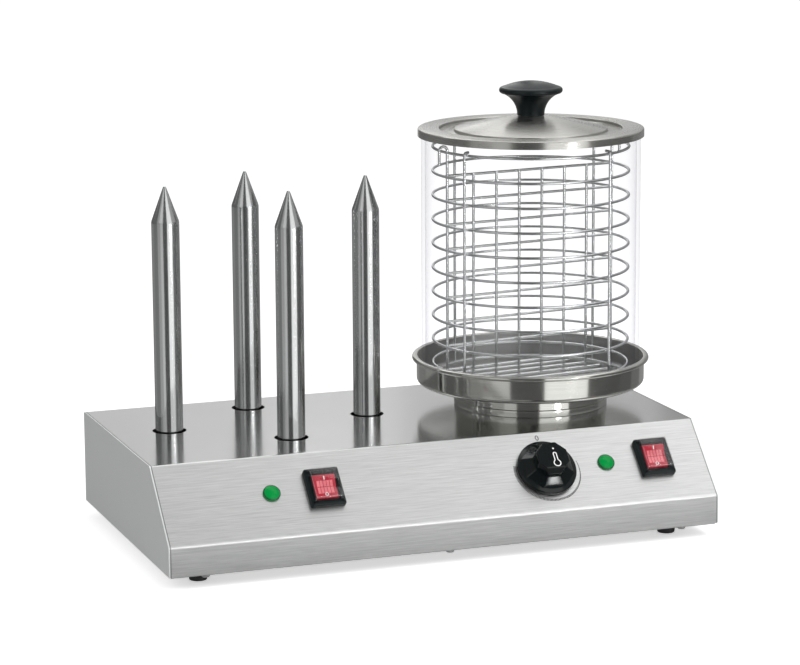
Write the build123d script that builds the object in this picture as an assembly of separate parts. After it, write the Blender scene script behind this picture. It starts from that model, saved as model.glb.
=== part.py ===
from build123d import *
import math
import os

# Table-top appliance that warms sausages in a glass cylinder and toasts rolls on four heated spikes.
# Millimetres, X to the right, Y to the back, Z up. The origin lies on the table,
# in the middle of the footprint.

# Sheet-metal case
CASE_WIDTH = 500.0
CASE_DEPTH = 280.0
CASE_HEIGHT = 82.3
LIP_HEIGHT = 25.4
SLOPE_RUN = 56.2
CASE_SHEET = 1.2
FOLD_RADIUS = 2.6
INNER_FOLD_RADIUS = 0.3
SEAM_GAP = 0.15
FLANGE_WIDTH = 12.0

# Base plate, its vents, screws and feet
BASE_SHEET = 1.2
BASE_INSET = 2.0
VENT_LENGTH = 34.0
VENT_WIDTH = 4.0
VENT_PITCH = 11.0
VENT_COUNT = 7
SCREW_RADIUS = 2.0
SCREW_HEAD_RADIUS = 3.6
SCREW_HEAD_HEIGHT = 2.2
SCREW_GRIP = 5.0
SCREW_CLEARANCE = 0.05
SCREW_END_ROOM = 1.0
BASE_SCREW_INSET = 6.0
BASE_SCREW_SIDE_INSET = 33.0
FOOT_HEIGHT = 12.0
FOOT_TOP_RADIUS = 9.0
FOOT_BOTTOM_RADIUS = 7.6
FOOT_INSET = 34.5
FOOT_RECESS_RADIUS = 4.4
FOOT_RECESS_DEPTH = 5.0
SMALL_NUT_FLATS = 7.0
SMALL_NUT_HEIGHT = 3.2

# Heated spikes and the bracket inside the case that carries them
SPIKE_FROM_SIDE = 52.0
SPIKE_FROM_BACK = 101.0
SPIKE_PAN_ROOM = 36.85
SPIKE_SPREAD_Y = 64.0
SPIKE_RADIUS = 12.25
SPIKE_WALL = 1.5
SPIKE_STRAIGHT = 186.0
SPIKE_CONE_HEIGHT = 34.0
SPIKE_TIP_RADIUS = 1.6
SPIKE_HOLE_RADIUS = 15.0
SPIGOT_RADIUS = 9.0
SPIGOT_LENGTH = 14.0
SPIGOT_CLEARANCE = 0.2
CARRIER_DROP = 22.0
CARRIER_SHEET = 2.0
CARRIER_MARGIN = 20.0
CARRIER_LIP = 10.0
SPIKE_NUT_FLATS = 27.0
SPIKE_NUT_HEIGHT = 6.0
CARTRIDGE_RADIUS = 6.5
CARTRIDGE_CLEARANCE = 0.05
CARTRIDGE_HEADROOM = 6.0
CARTRIDGE_CAP_RADIUS = 8.0
CARTRIDGE_CAP_HEIGHT = 6.0
TAB_WIDTH = 6.3
TAB_THICKNESS = 0.8
TAB_LENGTH = 8.0

# Water pan, its collar and the heater under it
PAN_FROM_RIGHT = 107.8
PAN_FROM_BACK = 106.1
COLLAR_HEIGHT = 19.5
COLLAR_RADIUS = 68.8
COLLAR_BAND_RADIUS = 70.1
COLLAR_BAND_HEIGHT = 6.2
COLLAR_WALL = 1.5
COLLAR_FOOT_RADIUS = 56.0
COLLAR_SEAT_RADIUS = 58.0
COLLAR_SCREW_CIRCLE = 61.5
COLLAR_SCREW_COUNT = 4
COLLAR_FIRST_SCREW_ANGLE = 45.0
CASE_HEATER_HOLE_RADIUS = 54.0
PAN_ROOM = 3.6
PAN_SHEET = 1.0
PAN_DEPTH = 25.2
PAN_CORNER_RELIEF = 0.2
PAN_BEAD_WIDTH = 4.5
PAN_BEAD_HEIGHT = 3.75
PAN_BEAD_ROUND = 1.7
HEAT_PLATE_RADIUS = 50.0
HEAT_PLATE_THICKNESS = 6.0
ELEMENT_RING_RADIUS = 38.0
ELEMENT_RADIUS = 4.0
ELEMENT_GAP_ANGLE = 50.0
ELEMENT_BEND_RADIUS = 9.0
ELEMENT_LEG_LENGTH = 16.0
CLAMP_WIDTH = 16.0
CLAMP_THICKNESS = 3.5
CLAMP_OVERHANG = 8.0
STUD_RADIUS = 3.0
STUD_END = 1.5
STUD_NUT_FLATS = 10.0
STUD_NUT_HEIGHT = 5.0
CUTOUT_RADIUS = 8.5
CUTOUT_HEIGHT = 7.0
CUTOUT_OFFSET_X = 20.0
CUTOUT_OFFSET_Y = -13.0
SENSOR_RADIUS = 3.0
SENSOR_LENGTH = 40.0
SENSOR_OFFSET_Y = 17.0
CAPILLARY_RADIUS = 0.8
CAPILLARY_STUB = 6.0
CAPILLARY_BENDS = [2.5, 8.0, 10.0, 8.0]

# Front panel: places are given from the nearer side and as the distance down the slope from the top fold
KNOB_FROM_RIGHT = 151.8
KNOB_DOWN = 38.4
LEFT_SWITCH_FROM_LEFT = 145.0
RIGHT_SWITCH_FROM_RIGHT = 49.7
SWITCH_DOWN = 37.3
LEFT_LAMP_FROM_LEFT = 98.8
RIGHT_LAMP_FROM_RIGHT = 94.9
LAMP_DOWN = 37.0

# Thermostat, its shaft and knob
THERMOSTAT_SIDE = 38.0
THERMOSTAT_DEPTH = 24.0
THERMOSTAT_CORNER = 3.0
THERMOSTAT_SCREW_PITCH = 28.0
SHAFT_RADIUS = 3.0
SHAFT_FLAT = 0.8
SHAFT_RUN = 0.05
SHAFT_INSIDE = 15.0
SHAFT_HOLE_RADIUS = 6.0
KNOB_RADIUS = 26.6
KNOB_SIDES = 8
KNOB_GAP = 0.5
KNOB_EDGE_HEIGHT = 3.8
KNOB_SKIRT_HEIGHT = 5.4
KNOB_FLARE = 45.6
KNOB_FLARE_HEIGHT = 6.0
KNOB_HEIGHT = 22.0
KNOB_GRIP = 28.0
KNOB_GRIP_DRAFT = 1.2
KNOB_FACET_WIDTH = 3.0
KNOB_FACET_ANGLE = 58.0
KNOB_WALL = 2.4
KNOB_HUB_RADIUS = 7.0
KNOB_CHAMFER = 0.6
KNOB_SCREW_ROOM = 2.4

# Rocker switches with their splash covers
BEZEL_WIDTH = 31.0
BEZEL_LENGTH = 36.5
BEZEL_HEIGHT = 5.0
BEZEL_CORNER = 2.0
BEZEL_CHAMFER = 1.2
SWITCH_BODY_WIDTH = 25.6
SWITCH_BODY_LENGTH = 30.0
SWITCH_BODY_DEPTH = 26.0
SWITCH_TAB_OUT_X = 6.4
SWITCH_TAB_OUT_Y = 8.6
CUTOUT_MARGIN = 0.2
ROCKER_WIDTH = 20.0
ROCKER_RADIUS = 12.0
ROCKER_GAP = 0.5
ROCKER_TILT = 9.0
ROCKER_PIVOT_HEIGHT = 0.6
ROCKER_CREST = 6.2
ROCKER_DISH_ANGLE = 9.0
ROCKER_DEPTH = 7.0
ROCKER_PIN_RADIUS = 1.5
ROCKER_PIN_LENGTH = 1.6
ROCKER_PIN_RUN = 0.05
COVER_WIDTH = 25.0
COVER_LENGTH = 29.5
COVER_HEIGHT = 7.5
COVER_WALL = 0.8
COVER_CORNER = 1.6

# Pilot lamps
LENS_RADIUS = 7.6
LENS_RIM_HEIGHT = 1.2
LENS_HEIGHT = 3.6
LENS_STEM_RADIUS = 5.6
LENS_STEM_LENGTH = 12.0
LAMP_HOLE_CLEARANCE = 0.1
LAMP_BODY_RADIUS = 7.4
LAMP_BODY_LENGTH = 20.0

# Mains inlet at the back and what it leads to
GLAND_FROM_RIGHT = 60.0
GLAND_ABOVE_CASE_BOTTOM = 28.0
GLAND_REACH = 5.0
GLAND_FLATS = 20.0
GLAND_THREAD_RADIUS = 8.0
GLAND_INSIDE = 13.0
GLAND_BORE_RADIUS = 4.0
GLAND_NUT_FLATS = 22.0
GLAND_NUT_HEIGHT = 4.0
TERMINAL_BLOCK_LENGTH = 36.0
TERMINAL_BLOCK_WIDTH = 20.0
TERMINAL_BLOCK_HEIGHT = 16.0
TERMINAL_COUNT = 3
TERMINAL_HOLE_RADIUS = 2.4
TERMINAL_FROM_BACK = 48.0
EARTH_STUD_RADIUS = 2.5
EARTH_STUD_LENGTH = 14.0
EARTH_STUD_FROM_BACK = 40.0
EARTH_STUD_FROM_GLAND = 32.0
EARTH_NUT_FLATS = 8.0
EARTH_NUT_HEIGHT = 4.0

# Glass cylinder
GLASS_RADIUS = 99.0
GLASS_WALL = 3.5
GLASS_LENGTH = 230.4

# Wire basket that stands in the glass
BASKET_STAND_OFF = 0.3
BASKET_PITCH = 22.0
BASKET_RINGS = 10
BASKET_FOOT_RISE = 15.6
RING_RADIUS = 88.4
WIRE_RADIUS = 1.3
WELD_GAP = 0.02
UPRIGHT_COUNT = 4
UPRIGHT_ANGLE = 28.0
DIVIDER_ANGLE = 8.0
DIVIDER_BARS = 6
DIVIDER_BAR_PITCH = 23.6
FLOOR_WIRE_PITCH = 17.0
FLOOR_WIRE_COUNT = 9
HOOK_BEND_RADIUS = 4.0
HOOK_RISE = 1.0
HOOK_DROP = 12.0

# Lid
LID_GAP = 0.3
LID_RADIUS = 101.9
LID_SHEET = 1.2
LID_SKIRT_HEIGHT = 7.0
LID_EDGE_RADIUS = 1.5
GROOVE_OUTER_RADIUS = 82.4
GROOVE_INNER_RADIUS = 69.0
GROOVE_DEPTH = 3.2
DOME_STEP = 2.6
DOME_RISE = 12.0
DOME_SEAT_RADIUS = 14.0
LID_KNOB_BASE_RADIUS = 12.3
LID_KNOB_WAIST_RADIUS = 15.0
LID_KNOB_WAIST_HEIGHT = 10.5
LID_KNOB_RADIUS = 28.6
LID_KNOB_HEIGHT = 30.4
LID_KNOB_RIM = 21.2
LID_KNOB_RIM_THICKNESS = 3.2
LID_SCREW_RADIUS = 2.5
LID_SCREW_HEAD_RADIUS = 4.5
LID_SCREW_HEAD_HEIGHT = 3.0
LID_SCREW_GRIP = 12.0

# Levels and places that follow from the sizes above
FRONT_Y = -(CASE_DEPTH + GLAND_REACH) / 2
BACK_Y = FRONT_Y + CASE_DEPTH
CASE_MIDDLE_Y = (FRONT_Y + BACK_Y) / 2
LEFT_X = -CASE_WIDTH / 2
RIGHT_X = CASE_WIDTH / 2
PAN_X = RIGHT_X - PAN_FROM_RIGHT
PAN_Y = BACK_Y - PAN_FROM_BACK
KNOB_X = RIGHT_X - KNOB_FROM_RIGHT
LEFT_SWITCH_X = LEFT_X + LEFT_SWITCH_FROM_LEFT
RIGHT_SWITCH_X = RIGHT_X - RIGHT_SWITCH_FROM_RIGHT
LEFT_LAMP_X = LEFT_X + LEFT_LAMP_FROM_LEFT
RIGHT_LAMP_X = RIGHT_X - RIGHT_LAMP_FROM_RIGHT
GLAND_X = RIGHT_X - GLAND_FROM_RIGHT
CASE_BOTTOM_Z = FOOT_HEIGHT + BASE_SHEET
CASE_TOP_Z = CASE_BOTTOM_Z + CASE_HEIGHT
LIP_TOP_Z = CASE_BOTTOM_Z + LIP_HEIGHT
SLOPE_TOP_Y = FRONT_Y + SLOPE_RUN
SLOPE_RISE = CASE_HEIGHT - LIP_HEIGHT
SLOPE_LENGTH = math.hypot(SLOPE_RUN, SLOPE_RISE)
ROOF_UNDERSIDE_Z = CASE_TOP_Z - CASE_SHEET
CARRIER_TOP_Z = ROOF_UNDERSIDE_Z - CARRIER_DROP
CARRIER_UNDERSIDE_Z = CARRIER_TOP_Z - CARRIER_SHEET
SPIKE_CONE_Z = CASE_TOP_Z + SPIKE_STRAIGHT
PAN_UNDERSIDE_Z = CASE_TOP_Z + COLLAR_HEIGHT
PAN_INNER_RADIUS = GLASS_RADIUS + PAN_ROOM
PAN_INNER_CORNER = PAN_ROOM - PAN_CORNER_RELIEF
PAN_RIM_RADIUS = PAN_INNER_RADIUS + PAN_BEAD_WIDTH
LEFT_SPIKE_X = LEFT_X + SPIKE_FROM_SIDE
RIGHT_SPIKE_X = PAN_X - PAN_RIM_RADIUS - SPIKE_PAN_ROOM - SPIKE_RADIUS
SPIKE_CENTRE_X = (LEFT_SPIKE_X + RIGHT_SPIKE_X) / 2
SPIKE_CENTRE_Y = BACK_Y - SPIKE_FROM_BACK
PAN_FLOOR_Z = PAN_UNDERSIDE_Z + PAN_SHEET
HEAT_PLATE_UNDERSIDE_Z = PAN_UNDERSIDE_Z - HEAT_PLATE_THICKNESS
ELEMENT_Z = HEAT_PLATE_UNDERSIDE_Z - ELEMENT_RADIUS
CLAMP_TOP_Z = ELEMENT_Z - ELEMENT_RADIUS
CLAMP_UNDERSIDE_Z = CLAMP_TOP_Z - CLAMP_THICKNESS
STUD_NUT_Z = CLAMP_UNDERSIDE_Z - STUD_NUT_HEIGHT
GLASS_TOP_Z = PAN_FLOOR_Z + GLASS_LENGTH
BASKET_BOTTOM_Z = PAN_FLOOR_Z + BASKET_STAND_OFF
FLOOR_WIRE_Z = BASKET_BOTTOM_Z + WIRE_RADIUS
BOTTOM_RING_Z = FLOOR_WIRE_Z + 2 * WIRE_RADIUS
FIRST_RING_Z = BASKET_BOTTOM_Z + BASKET_FOOT_RISE + WIRE_RADIUS
TOP_RING_Z = FIRST_RING_Z + (BASKET_RINGS - 1) * BASKET_PITCH
WIRE_PITCH = 2 * WIRE_RADIUS + WELD_GAP
UPRIGHT_RADIUS = RING_RADIUS + WIRE_PITCH
DIVIDER_HALF = RING_RADIUS - WIRE_PITCH
KNOB_RECESS_RADIUS = THERMOSTAT_SCREW_PITCH / 2 + SCREW_HEAD_RADIUS + KNOB_SCREW_ROOM
KNOB_RECESS_HEIGHT = SCREW_HEAD_HEIGHT + KNOB_GAP
KNOB_FACET_ROOM = KNOB_FACET_WIDTH * math.tan(math.radians(KNOB_FACET_ANGLE)) + KNOB_WALL / 2
LID_TOP_Z = GLASS_TOP_Z + LID_GAP + LID_SHEET
LID_KNOB_Z = LID_TOP_Z - GROOVE_DEPTH + DOME_STEP + DOME_RISE
SPIKE_PLACES = [
    (LEFT_SPIKE_X, SPIKE_CENTRE_Y),
    (SPIKE_CENTRE_X, SPIKE_CENTRE_Y - SPIKE_SPREAD_Y),
    (SPIKE_CENTRE_X, SPIKE_CENTRE_Y + SPIKE_SPREAD_Y),
    (RIGHT_SPIKE_X, SPIKE_CENTRE_Y),
]


def save(shape, node):
    """Write one sub-part to its own STEP file."""
    export_step(shape, "parts/" + node + ".step")


def turned(points, x=0.0, y=0.0):
    """Solid of revolution about a vertical axis from its half section, given as (radius, height) points."""
    section = Plane.XZ * make_face(Polyline(*points, close=True))
    return Pos(x, y, 0) * revolve(section, Axis.Z)


def rod(radius, length, x=0.0, y=0.0, z=0.0):
    """Round bar that stands on height z."""
    return Pos(x, y, z) * Cylinder(radius, length, align=(Align.CENTER, Align.CENTER, Align.MIN))


def dome_arc(radius, low, high):
    """Arc of a spherical cap's half section, from its edge at height low to its top on the axis."""
    rise = high - low
    ball = (radius ** 2 + rise ** 2) / (2 * rise)
    half = math.asin(radius / ball) / 2
    middle = (ball * math.sin(half), high - ball * (1 - math.cos(half)))
    return ThreePointArc((radius, low), middle, (0, high))


def block(length, width, height, x=0.0, y=0.0, z=0.0):
    """Rectangular block that stands on height z."""
    return Pos(x, y, z) * Box(length, width, height, align=(Align.CENTER, Align.CENTER, Align.MIN))


def hex_nut(flats, height, bore, x=0.0, y=0.0, z=0.0):
    """Hexagon nut with a plain bore, standing on height z."""
    body = extrude(RegularPolygon(flats / 2, 6, major_radius=False), height)
    return Pos(x, y, z) * (body - rod(bore, height))


def screw(radius, length, head_radius, head_height, x=0.0, y=0.0, z=0.0):
    """Pan-head screw that points up: its head's seat is at height z and its shank reaches length above it."""
    shank = rod(radius, length)
    head = chamfer(rod(head_radius, head_height, z=-head_height).edges().group_by(Axis.Z)[0], head_height / 3)
    return Pos(x, y, z) * (head + shank)


def panel_place(x, down):
    """Frame on the sloping front panel: X runs to the right, Y up the slope and Z out of the panel."""
    share = down / SLOPE_LENGTH
    origin = (x, SLOPE_TOP_Y - SLOPE_RUN * share, CASE_TOP_Z - SLOPE_RISE * share)
    normal = (0, -SLOPE_RISE / SLOPE_LENGTH, SLOPE_RUN / SLOPE_LENGTH)
    return Plane(origin=origin, x_dir=(1, 0, 0), z_dir=normal).location


def case_section(inset):
    """Outline of the case seen from its side, drawn in by the given distance."""
    corners = [
        (FRONT_Y, CASE_BOTTOM_Z),
        (FRONT_Y, LIP_TOP_Z),
        (SLOPE_TOP_Y, CASE_TOP_Z),
        (BACK_Y, CASE_TOP_Z),
        (BACK_Y, CASE_BOTTOM_Z),
    ]
    face = make_face(Polyline(*corners, close=True))
    if inset > 0:
        face = offset(face, amount=-inset, kind=Kind.INTERSECTION)
    middle = CASE_BOTTOM_Z + LIP_HEIGHT / 2
    folds = [vertex for vertex in face.vertices() if vertex.Y > middle]
    return Plane.YZ * fillet(folds, max(FOLD_RADIUS - inset, INNER_FOLD_RADIUS))


def case_slab(inset, start, width):
    """Slab with the outline of the case, from X = start over the given width."""
    return Pos(start, 0, 0) * extrude(case_section(inset), amount=width)


def panel_cuts():
    """Everything that is cut out of the sloping panel."""
    tall = 4 * CASE_SHEET
    cuts = []
    for x in (LEFT_SWITCH_X, RIGHT_SWITCH_X):
        opening = Box(SWITCH_BODY_WIDTH + 2 * CUTOUT_MARGIN, SWITCH_BODY_LENGTH + 2 * CUTOUT_MARGIN, tall)
        cuts.append(panel_place(x, SWITCH_DOWN) * opening)
    for x in (LEFT_LAMP_X, RIGHT_LAMP_X):
        cuts.append(panel_place(x, LAMP_DOWN) * Cylinder(LENS_STEM_RADIUS + LAMP_HOLE_CLEARANCE, tall))
    knob = panel_place(KNOB_X, KNOB_DOWN)
    cuts.append(knob * Cylinder(SHAFT_HOLE_RADIUS, tall))
    for side in (-1, 1):
        place = Pos(side * THERMOSTAT_SCREW_PITCH / 2, 0, 0)
        cuts.append(knob * place * Cylinder(SCREW_RADIUS + SCREW_CLEARANCE, tall))
    return cuts


def collar_screw_places():
    """Centres of the screws that hold the collar down, as (x, y)."""
    pitch = 360 / COLLAR_SCREW_COUNT
    turns = [math.radians(COLLAR_FIRST_SCREW_ANGLE + pitch * step) for step in range(COLLAR_SCREW_COUNT)]
    return [
        (PAN_X + COLLAR_SCREW_CIRCLE * math.cos(turn), PAN_Y + COLLAR_SCREW_CIRCLE * math.sin(turn))
        for turn in turns
    ]


def base_screw_places():
    """Centres of the screws that hold the base plate, as (x, y)."""
    rows = (FRONT_Y + BASE_SCREW_INSET, BACK_Y - BASE_SCREW_INSET)
    reach_x = CASE_WIDTH / 2 - BASE_SCREW_SIDE_INSET
    return [(side * reach_x, y) for y in rows for side in (-1, 0, 1)]


def foot_places():
    """Centres of the feet, as (x, y)."""
    reach_x = CASE_WIDTH / 2 - FOOT_INSET
    return [(side * reach_x, y) for y in (FRONT_Y + FOOT_INSET, BACK_Y - FOOT_INSET) for side in (-1, 1)]


def casing_shell():
    """Front lip, slope, top and back, folded from one sheet with a return flange at both lower edges."""
    width = CASE_WIDTH - 2 * (CASE_SHEET + SEAM_GAP)
    shell = case_slab(0, -width / 2, width) - case_slab(CASE_SHEET, -width / 2, width)
    mouth = CASE_DEPTH - 2 * FLANGE_WIDTH
    shell -= block(width, mouth, CASE_SHEET, 0, CASE_MIDDLE_Y, CASE_BOTTOM_Z)
    for x, y in SPIKE_PLACES:
        shell -= rod(SPIKE_HOLE_RADIUS, 2 * CASE_SHEET, x, y, ROOF_UNDERSIDE_Z - CASE_SHEET / 2)
    shell -= rod(CASE_HEATER_HOLE_RADIUS, 2 * CASE_SHEET, PAN_X, PAN_Y, ROOF_UNDERSIDE_Z - CASE_SHEET / 2)
    hole = SCREW_RADIUS + SCREW_CLEARANCE
    for x, y in collar_screw_places():
        shell -= rod(hole, 2 * CASE_SHEET, x, y, ROOF_UNDERSIDE_Z - CASE_SHEET / 2)
    for x, y in base_screw_places():
        shell -= rod(hole, 2 * CASE_SHEET, x, y, CASE_BOTTOM_Z - CASE_SHEET / 2)
    for cut in panel_cuts():
        shell -= cut
    inlet = Cylinder(GLAND_THREAD_RADIUS + CUTOUT_MARGIN, 4 * CASE_SHEET)
    return shell - Pos(GLAND_X, BACK_Y, gland_height()) * Rot(90, 0, 0) * inlet


def side_panel(side):
    """End wall with a flange folded in all round, which the shell is welded over."""
    plate = case_slab(0, -CASE_WIDTH / 2, CASE_SHEET)
    start = -CASE_WIDTH / 2 + CASE_SHEET
    flange = case_slab(CASE_SHEET, start, FLANGE_WIDTH) - case_slab(2 * CASE_SHEET, start, FLANGE_WIDTH)
    panel = plate + flange
    return panel if side < 0 else mirror(panel, Plane.YZ)


def base_plate():
    """Bottom sheet with vent slots under both heaters and holes for its screws and the feet."""
    length = CASE_WIDTH - 2 * BASE_INSET
    width = CASE_DEPTH - 2 * BASE_INSET
    plate = block(length, width, BASE_SHEET, 0, CASE_MIDDLE_Y, FOOT_HEIGHT)
    slot = Pos(0, 0, FOOT_HEIGHT) * extrude(SlotOverall(VENT_LENGTH, VENT_WIDTH, rotation=90), BASE_SHEET)
    for x, y in ((SPIKE_CENTRE_X, SPIKE_CENTRE_Y), (PAN_X, PAN_Y)):
        for step in range(VENT_COUNT):
            shift = (step - (VENT_COUNT - 1) / 2) * VENT_PITCH
            plate -= Pos(x + shift, y, 0) * slot
    for x, y in base_screw_places() + foot_places():
        plate -= rod(SCREW_RADIUS + SCREW_CLEARANCE, BASE_SHEET, x, y, FOOT_HEIGHT)
    x, y = earth_stud_place()
    return plate - rod(EARTH_STUD_RADIUS, BASE_SHEET, x, y, FOOT_HEIGHT)


def base_plate_screws():
    """Screws from below, through the base plate into the return flanges of the shell."""
    length = BASE_SHEET + CASE_SHEET + SCREW_GRIP
    return [
        screw(SCREW_RADIUS, length, SCREW_HEAD_RADIUS, SCREW_HEAD_HEIGHT, x, y, FOOT_HEIGHT)
        for x, y in base_screw_places()
    ]


def rubber_foot(x, y):
    """Tapered rubber foot with a recess for its screw."""
    bore = SCREW_RADIUS + SCREW_CLEARANCE
    points = [
        (FOOT_RECESS_RADIUS, 0),
        (FOOT_BOTTOM_RADIUS, 0),
        (FOOT_TOP_RADIUS, FOOT_HEIGHT),
        (bore, FOOT_HEIGHT),
        (bore, FOOT_RECESS_DEPTH),
        (FOOT_RECESS_RADIUS, FOOT_RECESS_DEPTH),
    ]
    return turned(points, x, y)


def foot_screws():
    """Screws that hold the feet to the base plate."""
    length = FOOT_HEIGHT - FOOT_RECESS_DEPTH + BASE_SHEET + SMALL_NUT_HEIGHT + SCREW_END_ROOM
    return [
        screw(SCREW_RADIUS, length, SCREW_HEAD_RADIUS, SCREW_HEAD_HEIGHT, x, y, FOOT_RECESS_DEPTH)
        for x, y in foot_places()
    ]


def foot_nuts():
    """Nuts of the foot screws, on the base plate."""
    bore = SCREW_RADIUS + SCREW_CLEARANCE
    return [hex_nut(SMALL_NUT_FLATS, SMALL_NUT_HEIGHT, bore, x, y, CASE_BOTTOM_Z) for x, y in foot_places()]


def spike_carrier():
    """Channel welded under the roof of the case, whose web carries the four spikes."""
    half = SPIKE_SPREAD_Y + CARRIER_MARGIN
    lip = half + CARRIER_LIP
    top, low = ROOF_UNDERSIDE_Z, CARRIER_UNDERSIDE_Z
    sheet = CARRIER_SHEET
    right = [
        (half - sheet, low + sheet),
        (half - sheet, top),
        (lip, top),
        (lip, top - sheet),
        (half, top - sheet),
        (half, low),
    ]
    left = [(-y, z) for y, z in reversed(right)]
    section = Plane.YZ * make_face(Polyline(*right, *left, close=True))
    length = RIGHT_SPIKE_X - LEFT_SPIKE_X + 2 * CARRIER_MARGIN
    carrier = Pos(SPIKE_CENTRE_X, SPIKE_CENTRE_Y, 0) * extrude(section, amount=length / 2, both=True)
    for x, y in SPIKE_PLACES:
        carrier -= rod(SPIGOT_RADIUS + SPIGOT_CLEARANCE, CARRIER_SHEET, x, y, CARRIER_UNDERSIDE_Z)
    return carrier


def toast_spike(x, y):
    """Polished tube with a closed point, whose threaded spigot goes through the carrier."""
    bore = SPIKE_RADIUS - SPIKE_WALL
    spigot_bore = CARTRIDGE_RADIUS + CARTRIDGE_CLEARANCE
    low = CARRIER_TOP_Z - SPIGOT_LENGTH
    half_angle = math.atan(SPIKE_RADIUS / SPIKE_CONE_HEIGHT)
    ball_z = SPIKE_CONE_Z + SPIKE_CONE_HEIGHT - SPIKE_TIP_RADIUS / math.sin(half_angle)
    touch = (SPIKE_TIP_RADIUS * math.cos(half_angle), ball_z + SPIKE_TIP_RADIUS * math.sin(half_angle))
    middle_angle = math.radians(45) + half_angle / 2
    middle = (SPIKE_TIP_RADIUS * math.cos(middle_angle), ball_z + SPIKE_TIP_RADIUS * math.sin(middle_angle))
    tip = (0, ball_z + SPIKE_TIP_RADIUS)
    seat = CARRIER_TOP_Z + SPIKE_WALL
    outside = Polyline((spigot_bore, low), (SPIGOT_RADIUS, low), (SPIGOT_RADIUS, CARRIER_TOP_Z),
                       (SPIKE_RADIUS, CARRIER_TOP_Z), (SPIKE_RADIUS, SPIKE_CONE_Z), touch)
    point = ThreePointArc(touch, middle, tip)
    inside = Polyline(tip, (0, SPIKE_CONE_Z), (bore, SPIKE_CONE_Z), (bore, seat), (spigot_bore, seat),
                      (spigot_bore, low))
    section = Plane.XZ * make_face([*outside.edges(), *point.edges(), *inside.edges()])
    return Pos(x, y, 0) * revolve(section, Axis.Z)


def spike_heater(x, y):
    """Cartridge heater inside a spike, with a ceramic cap and two terminals under the carrier."""
    low = CARRIER_TOP_Z - SPIGOT_LENGTH
    length = SPIKE_CONE_Z - CARTRIDGE_HEADROOM - low
    heater = rod(CARTRIDGE_RADIUS, length, x, y, low)
    cap_z = low - CARTRIDGE_CAP_HEIGHT
    heater += rod(CARTRIDGE_CAP_RADIUS, CARTRIDGE_CAP_HEIGHT, x, y, cap_z)
    for side in (-1, 1):
        place = (x + side * CARTRIDGE_CAP_RADIUS / 2, y, cap_z - TAB_LENGTH)
        heater += block(TAB_THICKNESS, TAB_WIDTH, TAB_LENGTH, *place)
    return heater


def spike_nuts():
    """Nuts that clamp the spikes to the carrier."""
    z = CARRIER_UNDERSIDE_Z - SPIKE_NUT_HEIGHT
    bore = SPIGOT_RADIUS + SCREW_CLEARANCE
    return [hex_nut(SPIKE_NUT_FLATS, SPIKE_NUT_HEIGHT, bore, x, y, z) for x, y in SPIKE_PLACES]


def neck_collar():
    """Spun collar between the case and the pan, with a wider band at its foot."""
    inner = COLLAR_RADIUS - COLLAR_WALL
    base, band, top = CASE_TOP_Z, CASE_TOP_Z + COLLAR_BAND_HEIGHT, PAN_UNDERSIDE_Z
    points = [
        (COLLAR_FOOT_RADIUS, base),
        (COLLAR_BAND_RADIUS, base),
        (COLLAR_BAND_RADIUS, band),
        (COLLAR_RADIUS, band),
        (COLLAR_RADIUS, top),
        (COLLAR_SEAT_RADIUS, top),
        (COLLAR_SEAT_RADIUS, top - COLLAR_WALL),
        (inner, top - COLLAR_WALL),
        (inner, base + COLLAR_WALL),
        (COLLAR_FOOT_RADIUS, base + COLLAR_WALL),
    ]
    collar = turned(points, PAN_X, PAN_Y)
    for x, y in collar_screw_places():
        collar -= rod(SCREW_RADIUS + SCREW_CLEARANCE, COLLAR_WALL, x, y, base)
    return collar


def neck_screws():
    """Screws that hold the collar down, with their heads inside it."""
    length = COLLAR_WALL + CASE_SHEET + SCREW_GRIP
    down = Rot(180, 0, 0) * screw(SCREW_RADIUS, length, SCREW_HEAD_RADIUS, SCREW_HEAD_HEIGHT)
    return [Pos(x, y, CASE_TOP_Z + COLLAR_WALL) * down for x, y in collar_screw_places()]


def water_pan():
    """Deep-drawn pan with a rolled rim, and the stud welded under it for the heater."""
    rim_z = PAN_UNDERSIDE_Z + PAN_DEPTH
    bowl = rod(PAN_INNER_RADIUS + PAN_SHEET, PAN_DEPTH - PAN_BEAD_HEIGHT / 2, z=PAN_UNDERSIDE_Z)
    bowl = fillet(bowl.edges().group_by(Axis.Z)[0], PAN_INNER_CORNER + PAN_SHEET)
    hollow = rod(PAN_INNER_RADIUS, PAN_DEPTH, z=PAN_FLOOR_Z)
    hollow = fillet(hollow.edges().group_by(Axis.Z)[0], PAN_INNER_CORNER)
    bead = RectangleRounded(PAN_BEAD_WIDTH, PAN_BEAD_HEIGHT, PAN_BEAD_ROUND)
    bead = Plane.XZ * Pos(PAN_INNER_RADIUS + PAN_BEAD_WIDTH / 2, rim_z - PAN_BEAD_HEIGHT / 2) * bead
    stud_z = STUD_NUT_Z - STUD_END
    stud = rod(STUD_RADIUS, PAN_FLOOR_Z - stud_z, z=stud_z)
    return Pos(PAN_X, PAN_Y, 0) * (bowl - hollow + revolve(bead, Axis.Z) + stud)


def heating_plate():
    """Aluminium plate that spreads the heat under the pan."""
    plate = rod(HEAT_PLATE_RADIUS, HEAT_PLATE_THICKNESS, z=HEAT_PLATE_UNDERSIDE_Z)
    plate -= rod(STUD_RADIUS + CUTOUT_MARGIN, HEAT_PLATE_THICKNESS, z=HEAT_PLATE_UNDERSIDE_Z)
    return Pos(PAN_X, PAN_Y, 0) * plate


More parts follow.
